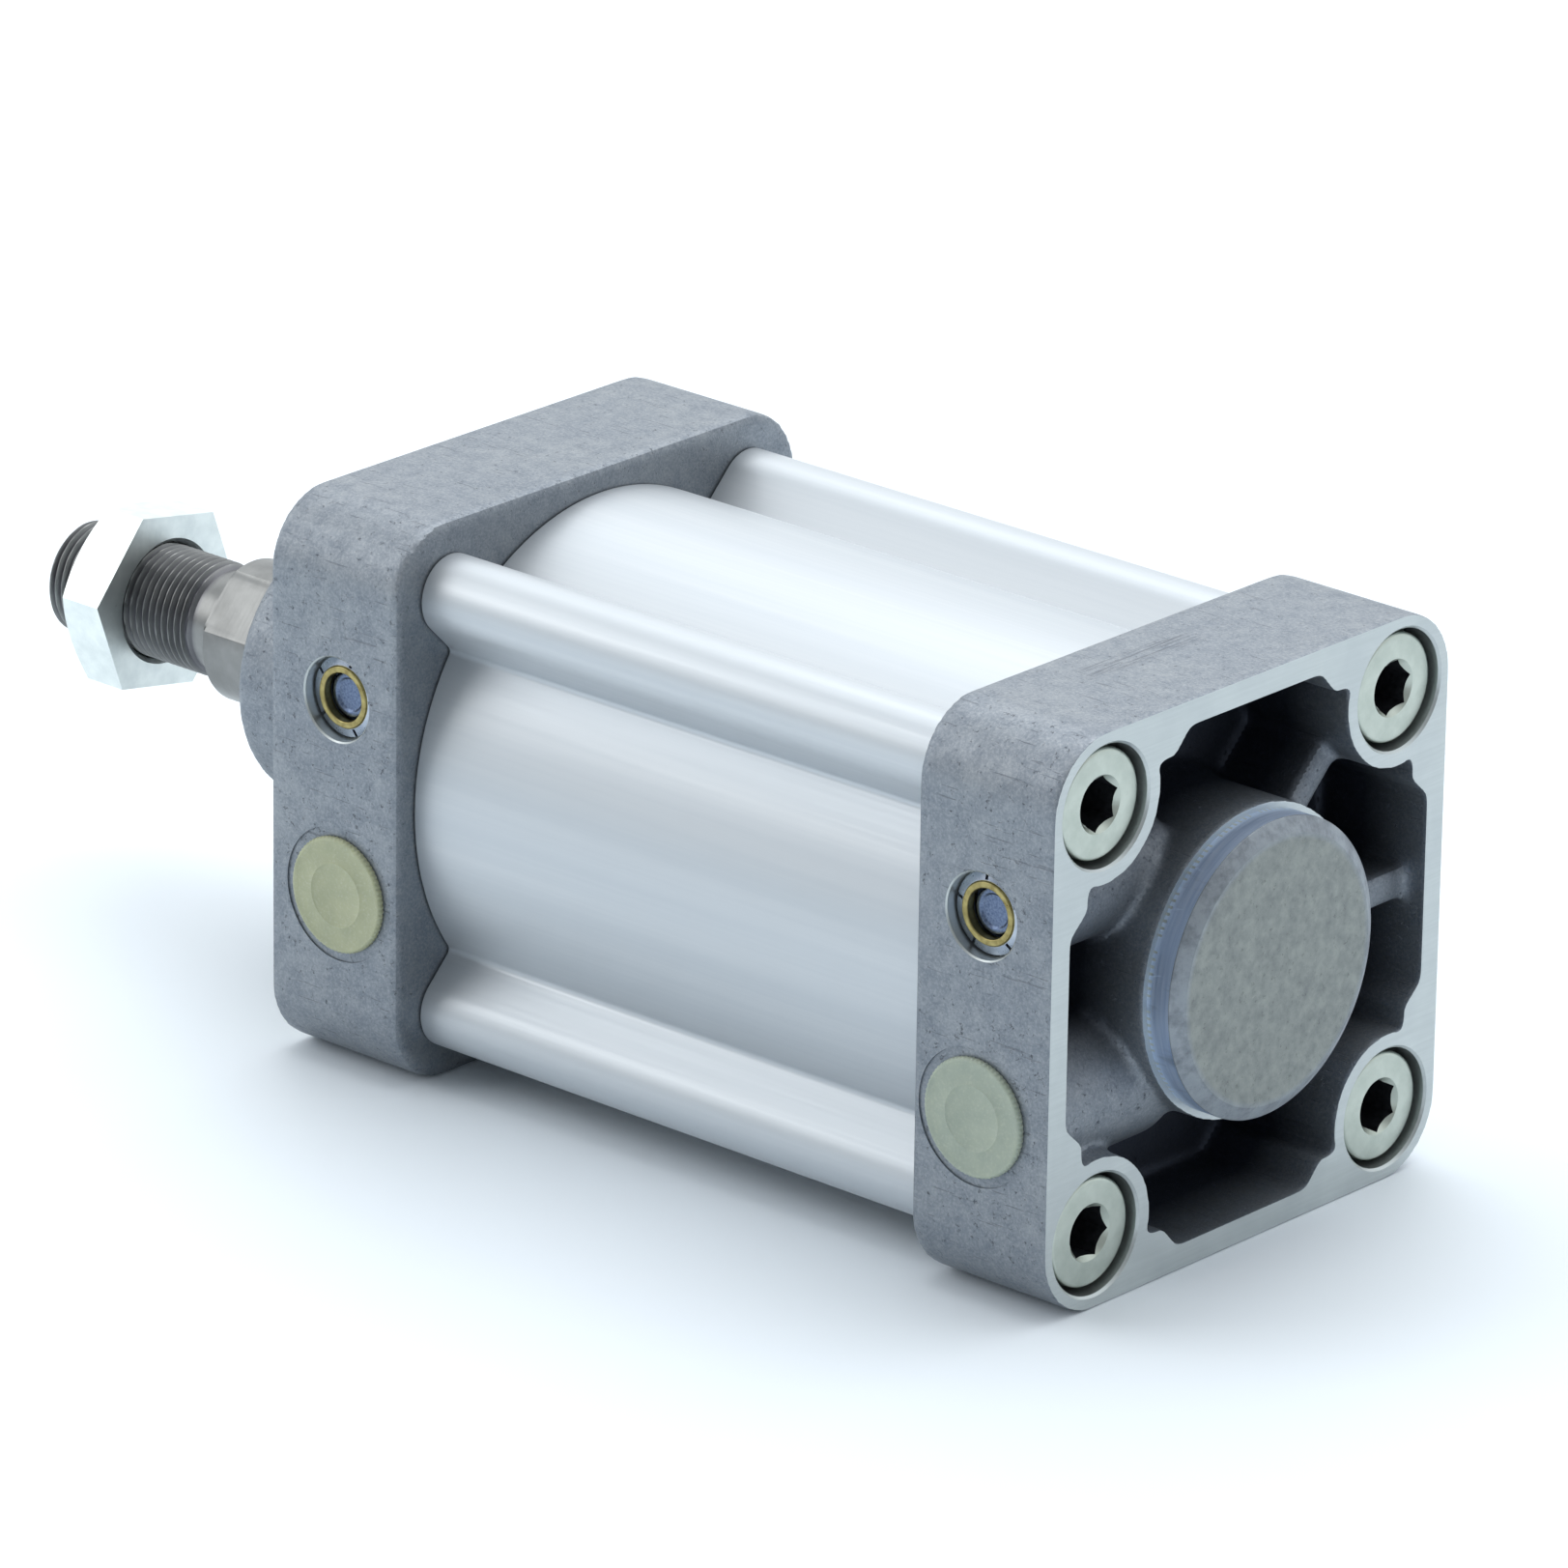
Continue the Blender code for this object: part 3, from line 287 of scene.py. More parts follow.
def cast_finish():
    """Pressure-cast aluminium: an even grey-blue skin with fine grain, dark pits and scratches, and painted
    shade deep in the pockets.
    """
    look = Finish("cast_aluminium", metallic=0.8)
    cloud = look.noise(18 * MM)
    mottle = look.noise(3.2 * MM, detail=6.0, rough=0.65, shift=0.3)
    grain = look.noise(0.5 * MM, detail=3.0, rough=0.7, shift=0.7)
    pits = look.reach(look.noise(1.2 * MM, detail=5.0, rough=0.8, shift=1.1), 0.61, 0.67)
    first = look.noise(0.7 * MM, (0.05, 1, 1), detail=3.0, shift=1.9, turn=(0, 0.5, 0))
    second = look.noise(0.6 * MM, (0.06, 1, 1), detail=3.0, shift=2.7, turn=(0, -0.9, 0.6))
    scratches = look.maths("MAXIMUM", look.reach(first, 0.67, 0.71), look.reach(second, 0.68, 0.72))
    rubs = look.noise(0.45 * MM, (1, 0.04, 1), detail=3.0, shift=4.2)
    rubbed = look.maths("MULTIPLY", rubbed_patch(look), look.reach(rubs, 0.48, 0.60))
    colour = look.blend(look.reach(cloud, 0.35, 0.65), linear(132, 139, 147), linear(140, 146, 152))
    colour = look.blend(look.reach(mottle, 0.38, 0.68, 0.0, 0.65), colour, linear(112, 121, 132))
    colour = look.blend(look.reach(grain, 0.42, 0.70, 0.0, 0.50), colour, linear(172, 176, 180))
    colour = look.cover(colour, pits, 0.7, linear(58, 62, 72))
    colour = look.cover(colour, scratches, 0.35, linear(84, 88, 96))
    colour = look.cover(colour, rubbed, 0.6, linear(92, 97, 106))
    # painted shade: the skin turns dark blue-grey deep in the pockets, where shade falls
    colour = look.cover(colour, pocket_shade_mask(look), 0.88, linear(30, 36, 52))
    rough = look.reach(mottle, 0.3, 0.7, 0.46, 0.58)
    fine = look.bump(grain, 0.045 * MM)
    marks = look.maths("MAXIMUM", look.maths("MAXIMUM", pits, scratches), rubbed)
    worn = look.bump(look.maths("MULTIPLY", marks, -1.0), 0.06 * MM, fine)
    return look.finish(colour, rough, worn)


def boss_finish():
    """The rear boss's unmachined end: warmer grey with dark and light specks, bluer at its bevel."""
    look = Finish("boss_end", metallic=0.75)
    mottle = look.noise(2.4 * MM, detail=6.0, rough=0.7, shift=0.2)
    grain = look.noise(0.45 * MM, detail=3.0, rough=0.7, shift=0.9)
    dark = look.reach(look.noise(1.1 * MM, detail=5.0, rough=0.8, shift=1.4), 0.58, 0.70)
    light = look.reach(look.noise(1.2 * MM, detail=5.0, rough=0.8, shift=2.3), 0.66, 0.74)
    edge = look.reach(look.radius_about_x(), 21.5 * MM, 22.8 * MM)
    colour = look.blend(look.reach(mottle, 0.35, 0.7), linear(144, 149, 145), linear(124, 129, 129))
    colour = look.cover(colour, light, 0.5, linear(206, 204, 190))
    colour = look.cover(colour, dark, 0.6, linear(66, 68, 72))
    colour = look.cover(colour, edge, 0.7, linear(150, 158, 168))
    blots = look.reach(look.noise(4 * MM, detail=6.0, rough=0.7, shift=3.1), 0.44, 0.66)
    smears = look.maths("MULTIPLY", edge, blots)
    colour = look.cover(colour, smears, 0.55, linear(84, 88, 96))
    rough = look.reach(mottle, 0.3, 0.7, 0.42, 0.56)
    return look.finish(colour, rough, look.bump(grain, 0.025 * MM))


def boss_side_finish():
    """The rear boss's turned side: smooth, with lines round it and a few dark streaks, and coloured light
    blue as a painted reflection.
    """
    look = Finish("boss_side", metallic=0.55)
    rings = look.noise(0.5 * MM, (1, 0.05, 0.05), detail=3.0)
    streaks = look.reach(look.noise(3.5 * MM, (0.25, 1, 1), detail=4.0, shift=0.6), 0.55, 0.72)
    # painted reflection: the light blue tone stands in for the blue light the turned side reflects
    colour = look.blend(look.reach(rings, 0.3, 0.7), linear(172, 194, 226), linear(198, 214, 238))
    colour = look.cover(colour, streaks, 0.6, linear(92, 102, 122))
    return look.finish(colour, look.reach(rings, 0.3, 0.7, 0.34, 0.44), look.bump(rings, 0.004 * MM))


def machined_finish():
    """Milled and turned aluminium: lighter than the casting, with fine tool lines."""
    look = Finish("machined_aluminium", metallic=0.9)
    cloud = look.noise(9 * MM)
    lines = look.noise(0.5 * MM, (1, 0.03, 1), detail=2.0, shift=0.4)
    colour = look.blend(look.reach(cloud, 0.35, 0.65), linear(186, 192, 193), linear(195, 201, 201))
    colour = look.blend(look.reach(lines, 0.3, 0.7, 0.0, 0.35), colour, linear(171, 178, 178))
    rough = look.reach(cloud, 0.3, 0.7, 0.32, 0.40)
    return look.finish(colour, rough, look.bump(lines, 0.006 * MM))


def anodised_finish():
    """The drawn and anodised barrel: near-white satin with faint lines along it."""
    look = Finish("anodised_profile", metallic=0.6)
    lines = look.noise(0.6 * MM, (0.008, 1, 1), detail=3.0)
    broad = look.noise(6 * MM, (0.02, 1, 1), detail=2.0, shift=0.5)
    marks = look.reach(look.noise(3 * MM, (0.5, 1, 1), detail=6.0, rough=0.8, shift=2.2), 0.70, 0.74)
    colour = look.blend(look.reach(broad, 0.35, 0.65), linear(192, 198, 203), linear(199, 204, 208))
    colour = look.blend(look.reach(lines, 0.35, 0.7, 0.0, 0.2), colour, linear(185, 192, 199))
    colour = look.cover(colour, marks, 0.25, linear(150, 158, 168))
    rough = look.reach(lines, 0.3, 0.7, 0.42, 0.47)
    return look.finish(colour, rough, look.bump(lines, 0.0012 * MM))


def zinc_finish(name, light, dark, roughness):
    """Zinc plate: slightly cloudy, with fine handling marks."""
    look = Finish(name, metallic=0.95)
    cloud = look.noise(4 * MM)
    fine = look.noise(0.35 * MM, detail=4.0, shift=0.9)
    spots = look.reach(look.noise(1.2 * MM, detail=5.0, rough=0.7, shift=1.4), 0.66, 0.74)
    colour = look.blend(look.reach(cloud, 0.35, 0.65), dark, light)
    colour = look.cover(colour, spots, 0.35, linear(120, 122, 116))
    rough = look.reach(fine, 0.3, 0.7, roughness - 0.04, roughness + 0.05)
    return look.finish(colour, rough, look.bump(fine, 0.004 * MM))


def rod_finish():
    """Ground and cut steel: grey with turning lines, and painted shade in the thread's grooves."""
    look = Finish("rod_steel", metallic=1.0)
    rings = look.noise(0.3 * MM, (1, 0.02, 0.02), detail=3.0)
    cloud = look.noise(5 * MM, shift=0.6)
    colour = look.blend(look.reach(cloud, 0.35, 0.65), linear(124, 125, 124), linear(138, 139, 138))
    # painted shade: darker towards the thread's roots, on the threaded length only
    painted_root_shade = look.reach(look.radius_about_x(), 9.1 * MM, 9.85 * MM, 1.0, 0.05)
    on_thread = look.reach(look.axis("X"), ROD_TIP + 34 * MM, ROD_TIP + 35.5 * MM, 1.0, 0.0)
    painted_root_shade = look.maths("MULTIPLY", painted_root_shade, on_thread)
    colour = look.blend(painted_root_shade, colour, linear(104, 104, 110))
    rough = look.reach(rings, 0.3, 0.7, 0.30, 0.40)
    return look.finish(colour, rough, look.bump(rings, 0.004 * MM))


def brass_finish():
    """Brass with a dull film in patches."""
    look = Finish("brass", metallic=1.0)
    cloud = look.noise(1.5 * MM, detail=4.0)
    colour = look.blend(look.reach(cloud, 0.35, 0.65), linear(128, 116, 74), linear(172, 160, 108))
    rough = look.reach(cloud, 0.3, 0.7, 0.26, 0.42)
    return look.finish(colour, rough, look.bump(cloud, 0.01 * MM))


def adjuster_finish():
    """Steel of the adjusting screw's head, coloured blue-grey as a painted reflection of blue light."""
    look = Finish("adjuster_steel", metallic=1.0)
    rings = look.noise(0.4 * MM, (1, 1, 0.1), detail=3.0)
    # painted reflection: the blue-grey tone stands in for blue light reflected by the head
    colour = look.blend(look.reach(rings, 0.3, 0.7), linear(78, 92, 120), linear(120, 134, 158))
    return look.finish(colour, look.reach(rings, 0.3, 0.7, 0.3, 0.42), look.bump(rings, 0.004 * MM))


def plug_finish(name, light, dark):
    """Translucent-looking moulded plastic, a little cloudy and dusty."""
    look = Finish(name)
    cloud = look.noise(3.5 * MM, detail=4.0)
    dust = look.noise(0.5 * MM, detail=4.0, rough=0.7, shift=0.8)
    colour = look.blend(look.reach(cloud, 0.3, 0.7), dark, light)
    colour = look.blend(look.reach(dust, 0.5, 0.8, 0.0, 0.4), colour, linear(205, 208, 190))
    look.shader.inputs["Subsurface Weight"].default_value = 0.15
    look.shader.inputs["Subsurface Radius"].default_value = (1.5 * MM, 1.5 * MM, 0.8 * MM)
    look.shader.inputs["Subsurface Scale"].default_value = 1.0
    rough = look.reach(dust, 0.3, 0.7, 0.40, 0.55)
    return look.finish(colour, rough, look.bump(dust, 0.015 * MM))


def plain_finish(name, light, dark, metallic, roughness, size, relief):
    """A matte or satin material with cloudy colour, for rubber, bronze, plastic and inner metal."""
    look = Finish(name, metallic=metallic)
    cloud = look.noise(size, detail=4.0)
    colour = look.blend(look.reach(cloud, 0.3, 0.7), dark, light)
    rough = look.reach(cloud, 0.3, 0.7, roughness - 0.06, roughness + 0.06)
    return look.finish(colour, rough, look.bump(cloud, relief))


CAST = cast_finish()
MACHINED = machined_finish()
ANODISED = anodised_finish()
SCREW_ZINC = zinc_finish("screw_zinc", linear(192, 199, 190), linear(178, 186, 177), 0.34)
NUT_ZINC = zinc_finish("nut_zinc", linear(230, 236, 234), linear(214, 221, 220), 0.40)
ROD_STEEL = rod_finish()
BRASS = brass_finish()
# painted shade: the walls of the screws' hex sockets are near black for the shade inside the holes
SOCKET_SHADE = plain_finish("socket_shade", linear(52, 53, 58), linear(26, 27, 31), 0.6, 0.5, 1.0 * MM, 0.02 * MM)
BOSS_END = boss_finish()
BOSS_SIDE = boss_side_finish()
FLANGE = zinc_finish("flange_zinc", linear(186, 194, 204), linear(150, 160, 176), 0.30)
ADJUSTER = adjuster_finish()
REAR_PLUG = plug_finish("rear_plug_plastic", linear(164, 174, 158), linear(150, 161, 148))
FRONT_PLUG = plug_finish("front_plug_plastic", linear(170, 174, 142), linear(156, 161, 132))
RUBBER = plain_finish("rubber", linear(44, 44, 46), linear(28, 28, 30), 0.0, 0.62, 1.0 * MM, 0.01 * MM)
BRONZE = plain_finish("bronze", linear(176, 132, 84), linear(148, 108, 68), 0.95, 0.42, 2.0 * MM, 0.01 * MM)
TURNED = plain_finish(
    "turned_aluminium", linear(208, 210, 212), linear(188, 192, 196), 0.95, 0.34, 0.8 * MM, 0.006 * MM
)
GUIDE = plain_finish("guide_plastic", linear(84, 76, 66), linear(66, 60, 54), 0.0, 0.5, 1.2 * MM, 0.01 * MM)
MAGNET = plain_finish("ferrite", linear(64, 64, 68), linear(48, 48, 52), 0.1, 0.6, 0.9 * MM, 0.02 * MM)


# ---- outlines and meshes

def in_mm(*rows):
    """Rows of numbers given in millimetres, in metres."""
    return [tuple(value * MM for value in row) for row in rows]


def arc(centre, radius, start, end, steps):
    """Points along an arc, angles in radians."""
    angles = [start + (end - start) * step / steps for step in range(steps + 1)]
    return [(centre[0] + radius * math.cos(a), centre[1] + radius * math.sin(a)) for a in angles]


def filleted(corners, steps):
    """A polygon's points with each corner, (across, up, radius), rounded by an arc of that radius."""
    points = []
    for index, (across, up, radius) in enumerate(corners):
        here = Vector((across, up))
        if radius == 0:
            points.append(tuple(here))
            continue
        back = (Vector(corners[index - 1][:2]) - here).normalized()
        onward = (Vector(corners[(index + 1) % len(corners)][:2]) - here).normalized()
        half = back.angle(onward) / 2
        centre = here + (back + onward).normalized() * radius / math.sin(half)
        first = here + back * radius / math.tan(half) - centre
        final = here + onward * radius / math.tan(half) - centre
        swing = math.pi - 2 * half
        for step in range(steps + 1):
            share = step / steps
            spoke = first * math.sin((1 - share) * swing) + final * math.sin(share * swing)
            points.append(tuple(centre + spoke / math.sin(swing)))
    return points


def quarter_turns(outline):
    """The outline's points repeated at 0, 90, 180 and 270 degrees."""
    points = list(outline)
    whole = []
    for _ in range(4):
        whole += points
        points = [(-up, across) for across, up in points]
    return whole


def lathe(profile, sides=96):
    """A mesh from a closed outline of (radius, height) points turned about Z."""
    work = bmesh.new()
    rings = []
    for radius, height in profile:
        if radius == 0:
            rings.append([work.verts.new((0, 0, height))] * sides)
            continue
        angles = [TURN * side / sides for side in range(sides)]
        rings.append([work.verts.new((radius * math.cos(a), radius * math.sin(a), height)) for a in angles])
    for index, ring in enumerate(rings):
        after = rings[(index + 1) % len(rings)]
        for side in range(sides):
            corners = [ring[side], ring[(side + 1) % sides], after[(side + 1) % sides], after[side]]
            unique = list(dict.fromkeys(corners))
            if len(unique) > 2:
                work.faces.new(unique)
    return closed_mesh(work)


def turned(outer, sides):
    """The mesh of a turned solid from the points down its outer side."""
    return lathe([(0, outer[0][1])] + list(outer) + [(0, outer[-1][1])], sides)


def closed_mesh(work):
    """The bmesh as a mesh with its faces pointing out."""
    bmesh.ops.recalc_face_normals(work, faces=work.faces)
    mesh = bpy.data.meshes.new("work")
    work.to_mesh(mesh)
    work.free()
    return mesh


def extrusion(outlines, low, high):
    """A mesh of flat outlines in the Y-Z plane, thickened between two planes along X."""
    curve = bpy.data.curves.new("outline", "CURVE")
    curve.dimensions = "2D"
    curve.fill_mode = "BOTH"
    curve.extrude = (high - low) / 2
    for outline in outlines:
        spline = curve.splines.new("POLY")
        spline.points.add(len(outline) - 1)
        for point, (across, up) in zip(spline.points, outline):
            point.co = (across, up, 0, 1)
        spline.use_cyclic_u = True
    drawn = bpy.data.objects.new("outline", curve)
    bpy.context.scene.collection.objects.link(drawn)
    graph = bpy.context.evaluated_depsgraph_get()
    mesh = bpy.data.meshes.new_from_object(drawn.evaluated_get(graph))
    bpy.data.objects.remove(drawn)
    work = bmesh.new()
    work.from_mesh(mesh)
    bmesh.ops.remove_doubles(work, verts=work.verts, dist=0.005 * MM)
    rise = Matrix.Translation(((low + high) / 2, 0, 0)) @ Matrix.Rotation(math.pi / 2, 4, "Z")
    bmesh.ops.transform(work, matrix=rise @ Matrix.Rotation(math.pi / 2, 4, "X"), verts=work.verts)
    bpy.data.meshes.remove(mesh)
    return closed_mesh(work)


def box_mesh(low, high):
    """A box between two corners, for a cutter or a rib that is blended into a casting."""
    work = bmesh.new()
    bmesh.ops.create_cube(work, size=1)
    size = [top - bottom for bottom, top in zip(low, high)]
    centre = [(top + bottom) / 2 for bottom, top in zip(low, high)]
    bmesh.ops.scale(work, vec=size, verts=work.verts)
    bmesh.ops.translate(work, vec=centre, verts=work.verts)
    return closed_mesh(work)


def hex_mesh(flats, low, high, corner=0.0):
    """A hexagonal prism along Z, with its first corner at an angle from X."""
    work = bmesh.new()
    radius = flats / math.sqrt(3)
    bmesh.ops.create_cone(work, cap_ends=True, segments=6, radius1=radius, radius2=radius, depth=high - low)
    work.verts.ensure_lookup_table()
    first = work.verts[0].co
    work.transform(Matrix.Rotation(corner - math.atan2(first.y, first.x), 4, "Z"))
    bmesh.ops.translate(work, vec=(0, 0, (low + high) / 2), verts=work.verts)
    return closed_mesh(work)


def thing(name, mesh, material=None, turn=(0, 0, 0), place=(0, 0, 0)):
    """An object in the scene with one material."""
    mesh.name = name
    if material is not None:
        mesh.materials.append(material)
    item = bpy.data.objects.new(name, mesh)
    item.rotation_euler = turn
    item.location = place
    bpy.context.scene.collection.objects.link(item)
    return item


def combine(target, operation, others, solver="EXACT"):
    """Cut other shapes out of a piece, join them on, or keep what they share, and delete them."""
    group = bpy.data.collections.new("cutters")
    bpy.context.scene.collection.children.link(group)
    for other in others:
        bpy.context.scene.collection.objects.unlink(other)
        group.objects.link(other)
    step = target.modifiers.new("combine", "BOOLEAN")
    step.operation = operation
    step.solver = solver
    step.operand_type = "COLLECTION"
    step.collection = group
    step.material_mode = "TRANSFER"
    settle(target)
    for other in others:
        bpy.data.objects.remove(other, do_unlink=True)
    bpy.data.collections.remove(group)


def settle(item):
    """Turn a piece's modifiers into its mesh."""
    bpy.context.view_layer.update()
    graph = bpy.context.evaluated_depsgraph_get()
    mesh = bpy.data.meshes.new_from_object(item.evaluated_get(graph))
    item.modifiers.clear()
    item.data = mesh


def smooth(item, angle=30):
    """Smooth shading with crisp edges above an angle in degrees."""
    item.data.shade_smooth()
    item.data.set_sharp_from_angle(angle=math.radians(angle))


def show(item, body, slot, *nodes):
    """Hang a finished piece on its body in place of its CAD nodes."""
    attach(item, body)
    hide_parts(*nodes)


# ---- end caps

def screw_places():
    """The four corner screws, counter-clockwise from +Y +Z."""
    reach = SCREW_SQUARE
    return [(reach, reach), (-reach, reach), (-reach, -reach), (reach, -reach)]


def cap_outline():
    """The square cap with its round corners."""
    straight = HALF_WIDTH - CAP_CORNER
    return quarter_turns(arc((straight, straight), CAP_CORNER, 0, math.pi / 2, 16))


def pocket_outline():
    """The cast pocket: a shallow step in each wall, and a round boss left at each screw."""
    reach = POCKET_SHELF - SCREW_SQUARE
    swing = math.acos(reach / SCREW_BOSS)
    side = [
        (POCKET_SHELF, -POCKET_STEP),
        (POCKET_WALL, -POCKET_FLAT),
        (POCKET_WALL, POCKET_FLAT),
        (POCKET_SHELF, POCKET_STEP),
    ]
    corner = (SCREW_SQUARE, SCREW_SQUARE)
    return quarter_turns(side + arc(corner, SCREW_BOSS, -swing, swing - 1.5 * math.pi, 24))


def along(name, profile, x, height, sides=48, material=None):
    """A turned solid that points out of the ports' side."""
    return thing(name, turned(profile, sides), material, SIDEWAYS, (x, 0, height))


def casting(name, face, outward, boss_profile):
    """The raw casting of one cap, with rounded inner corners, before it is machined."""
    inner = face - outward * (REAR_FACE - REAR_INNER)
    floor = face - outward * POCKET_DEPTH
    rim = face + outward * ALLOWANCE
    x_port = middle(name + "_port_plug").x
    x_needle = middle(name + "_cushion_screw").x
    spigot_end = REAR_SPIGOT_END if outward > 0 else FRONT_SPIGOT_END
    frame_low, frame_high = sorted((floor - outward * OVERRUN, rim))
    base_low, base_high = sorted((inner, floor))
    shapes = [
        thing("wall", extrusion([cap_outline(), pocket_outline()], frame_low, frame_high)),
        thing("base", extrusion([cap_outline()], base_low, base_high)),
    ]
    disc = sorted((floor, spigot_end))
    spigot = [(BORE_RADIUS - GAP, disc[1]), (BORE_RADIUS - GAP, disc[0])]
    shapes.append(thing("spigot", turned(spigot, 96), None, REARWARD))
    shapes.append(thing("boss", turned(boss_profile, 96), None, REARWARD))
    wall = HALF_WIDTH - OVERRUN
    shapes.append(along("port_boss", [(PORT_BOSS, wall), (PORT_BOSS, 14 * MM)], x_port, PORT_HEIGHT))
    needle_boss = [(NEEDLE_BOSS, wall), (NEEDLE_BOSS, 12 * MM)]
    shapes.append(along("needle_boss", needle_boss, x_needle, NEEDLE_HEIGHT))
    fused = sorted((floor - outward * OVERRUN, x_needle))
    shapes.append(thing("fused_boss", box_mesh(
        (fused[0], -45 * MM, NEEDLE_HEIGHT),
        (fused[1], -25 * MM, 27.5 * MM),
    )))
    half = 2.8 * MM
    webs = ((0, 46 * MM, 4 * MM), (45, 42 * MM, 6.2 * MM), (315, 42 * MM, 7.4 * MM))
    for angle, end, drop in webs:
        low, high = sorted((floor - outward * OVERRUN, face - outward * drop))
        rib = box_mesh((low, 20 * MM, -half), (high, end, half))
        shapes.append(thing("rib", rib, None, (math.radians(angle), 0, 0)))
    return fuse(name + "_end_cap", shapes)


def fuse(name, shapes):
    """Blend overlapping closed shapes into one casting with soft inner corners."""
    work = bmesh.new()
    for shape in shapes:
        bpy.context.view_layer.update()
        shape.data.transform(shape.matrix_world)
        work.from_mesh(shape.data)
        bpy.data.objects.remove(shape)
    mesh = bpy.data.meshes.new(name)
    work.to_mesh(mesh)
    work.free()
    item = thing(name, mesh, CAST)
    remesh = item.modifiers.new("remesh", "REMESH")
    remesh.mode = "VOXEL"
    remesh.voxel_size = CAST_VOXEL
    soften = item.modifiers.new("soften", "SMOOTH")
    soften.factor = 0.5
    soften.iterations = 8
    settle(item)
    return item


def cap_cutters(name, face, outward):
    """Milling of the face, screw holes, the air port and its passage, and the adjusting screw's bore."""
    x_port = middle(name + "_port_plug").x
    x_needle = middle(name + "_cushion_screw").x
    side = HALF_WIDTH
    turn = REARWARD if outward > 0 else FORWARD
    cutters = []
    head_hole = 10.2 * MM
    bevel = 0.4 * MM
    hole = [
        (head_hole + bevel, OVERRUN),
        (head_hole + bevel, 0),
        (head_hole, -bevel),
        (head_hole, -HEAD_DEPTH),
        (CHANNEL_RADIUS, -HEAD_DEPTH),
        (CHANNEL_RADIUS, -45 * MM),
    ]
    for across, up in screw_places():
        mesh = turned(hole, 64)
        cutters.append(thing("screw_hole", mesh, MACHINED, turn, (face, across, up)))
    spot_floor = side - SPOT_DEPTH
    spot = [(SPOT_RADIUS, side + OVERRUN), (SPOT_RADIUS, spot_floor)]
    cutters.append(along("spot_face", spot, x_port, PORT_HEIGHT, 96, CAST))
    mouth = 8.9 * MM
    port_floor = 24 * MM
    port = [
        (mouth, side + OVERRUN),
        (mouth, spot_floor),
        (PORT_RADIUS, spot_floor - 0.6 * MM),
        (PORT_RADIUS, port_floor),
        (PORT_PASSAGE, port_floor),
        (PORT_PASSAGE, 4 * MM),
    ]
    cutters.append(along("port", port, x_port, PORT_HEIGHT, 72, MACHINED))
    lip = 0.25 * MM
    needle_seat = side - 13 * MM
    needle = [
        (RECESS_RADIUS + lip, side + OVERRUN),
        (RECESS_RADIUS + lip, side),
        (RECESS_RADIUS, side - lip),
        (RECESS_RADIUS, side - RECESS_DEPTH),
        (NEEDLE_RADIUS, side - RECESS_DEPTH),
        (NEEDLE_RADIUS, needle_seat),
        (NEEDLE_PASSAGE, needle_seat),
        (NEEDLE_PASSAGE, 2 * MM),
    ]
    cutters.append(along("needle_bore", needle, x_needle, NEEDLE_HEIGHT, 64, MACHINED))
    return cutters


def ring_cutter(name, outer, inner, low, high):
    """A tube-shaped cutter along X."""
    profile = [(outer, high), (outer, low), (inner, low), (inner, high)]
    return thing(name, lathe(profile, 128), MACHINED, REARWARD)


def rod_cutter(name, profile):
    """A turned cutter along X, its profile running from high x to low x."""
    return thing(name, turned(profile, 96), MACHINED, REARWARD)


def seal_groove(prefix):
    """The groove round a cap's spigot for the barrel's seal."""
    x = middle(prefix + "_barrel_seal").x
    low, high = x - GROOVE_HALF_WIDTH, x + GROOVE_HALF_WIDTH
    return ring_cutter("seal_groove", 42 * MM, GROOVE_RADIUS, low, high)


def make_rear_cap():
    """The rear cap: the casting, its milled face, and the turned side of the centring boss."""
    floor = REAR_FACE - POCKET_DEPTH
    skin = 1.2 * MM
    boss = [
        (REAR_BOSS_RADIUS + skin, REAR_FACE + ALLOWANCE),
        (REAR_BOSS_RADIUS + skin, floor + 4 * MM),
        (REAR_BOSS_RADIUS + 3 * MM, floor - OVERRUN),
    ]
    cap = casting("rear", REAR_FACE, 1, boss)
    cutters = cap_cutters("rear", REAR_FACE, 1)
    cutters.append(ring_cutter("face_mill", MILL_RADIUS, REAR_BOSS_RADIUS, REAR_FACE, OVERRUN))
    seat = REAR_SPIGOT_END + SEAL_SEAT_LENGTH
    cutters.append(rod_cutter("chamber", [
        (CHAMBER_RADIUS, REAR_FACE - 6 * MM),
        (CHAMBER_RADIUS, seat),
        (SEAL_SEAT_RADIUS, seat),
        (SEAL_SEAT_RADIUS, REAR_SPIGOT_END - OVERRUN),
    ]))
    cutters.append(seal_groove("rear"))
    combine(cap, "DIFFERENCE", cutters, "MANIFOLD")
    combine(cap, "UNION", [rear_boss()], "MANIFOLD")
    smooth(cap, 28)
    show(cap, "cylinder_body", "cast_aluminium", "rear_cap")


def rear_boss():
    """The centring boss: turned on its side, and left as cast on its bevelled end."""
    rounding = 0.25 * MM
    side_foot = REAR_FACE - 4 * MM
    corners = [
        (0, 0, 0),
        (REAR_BOSS_FACE, 0, rounding),
        (REAR_BOSS_RADIUS, -REAR_BOSS_BEVEL, rounding),
        (REAR_BOSS_RADIUS, side_foot, 0),
        (0, side_foot, 0),
    ]
    boss = thing("boss", lathe(filleted(corners, 4), 144), BOSS_END, REARWARD)
    boss.data.materials.append(BOSS_SIDE)
    for face in boss.data.polygons:
        if face.center.z < -REAR_BOSS_BEVEL - rounding:
            face.material_index = 1
    return boss


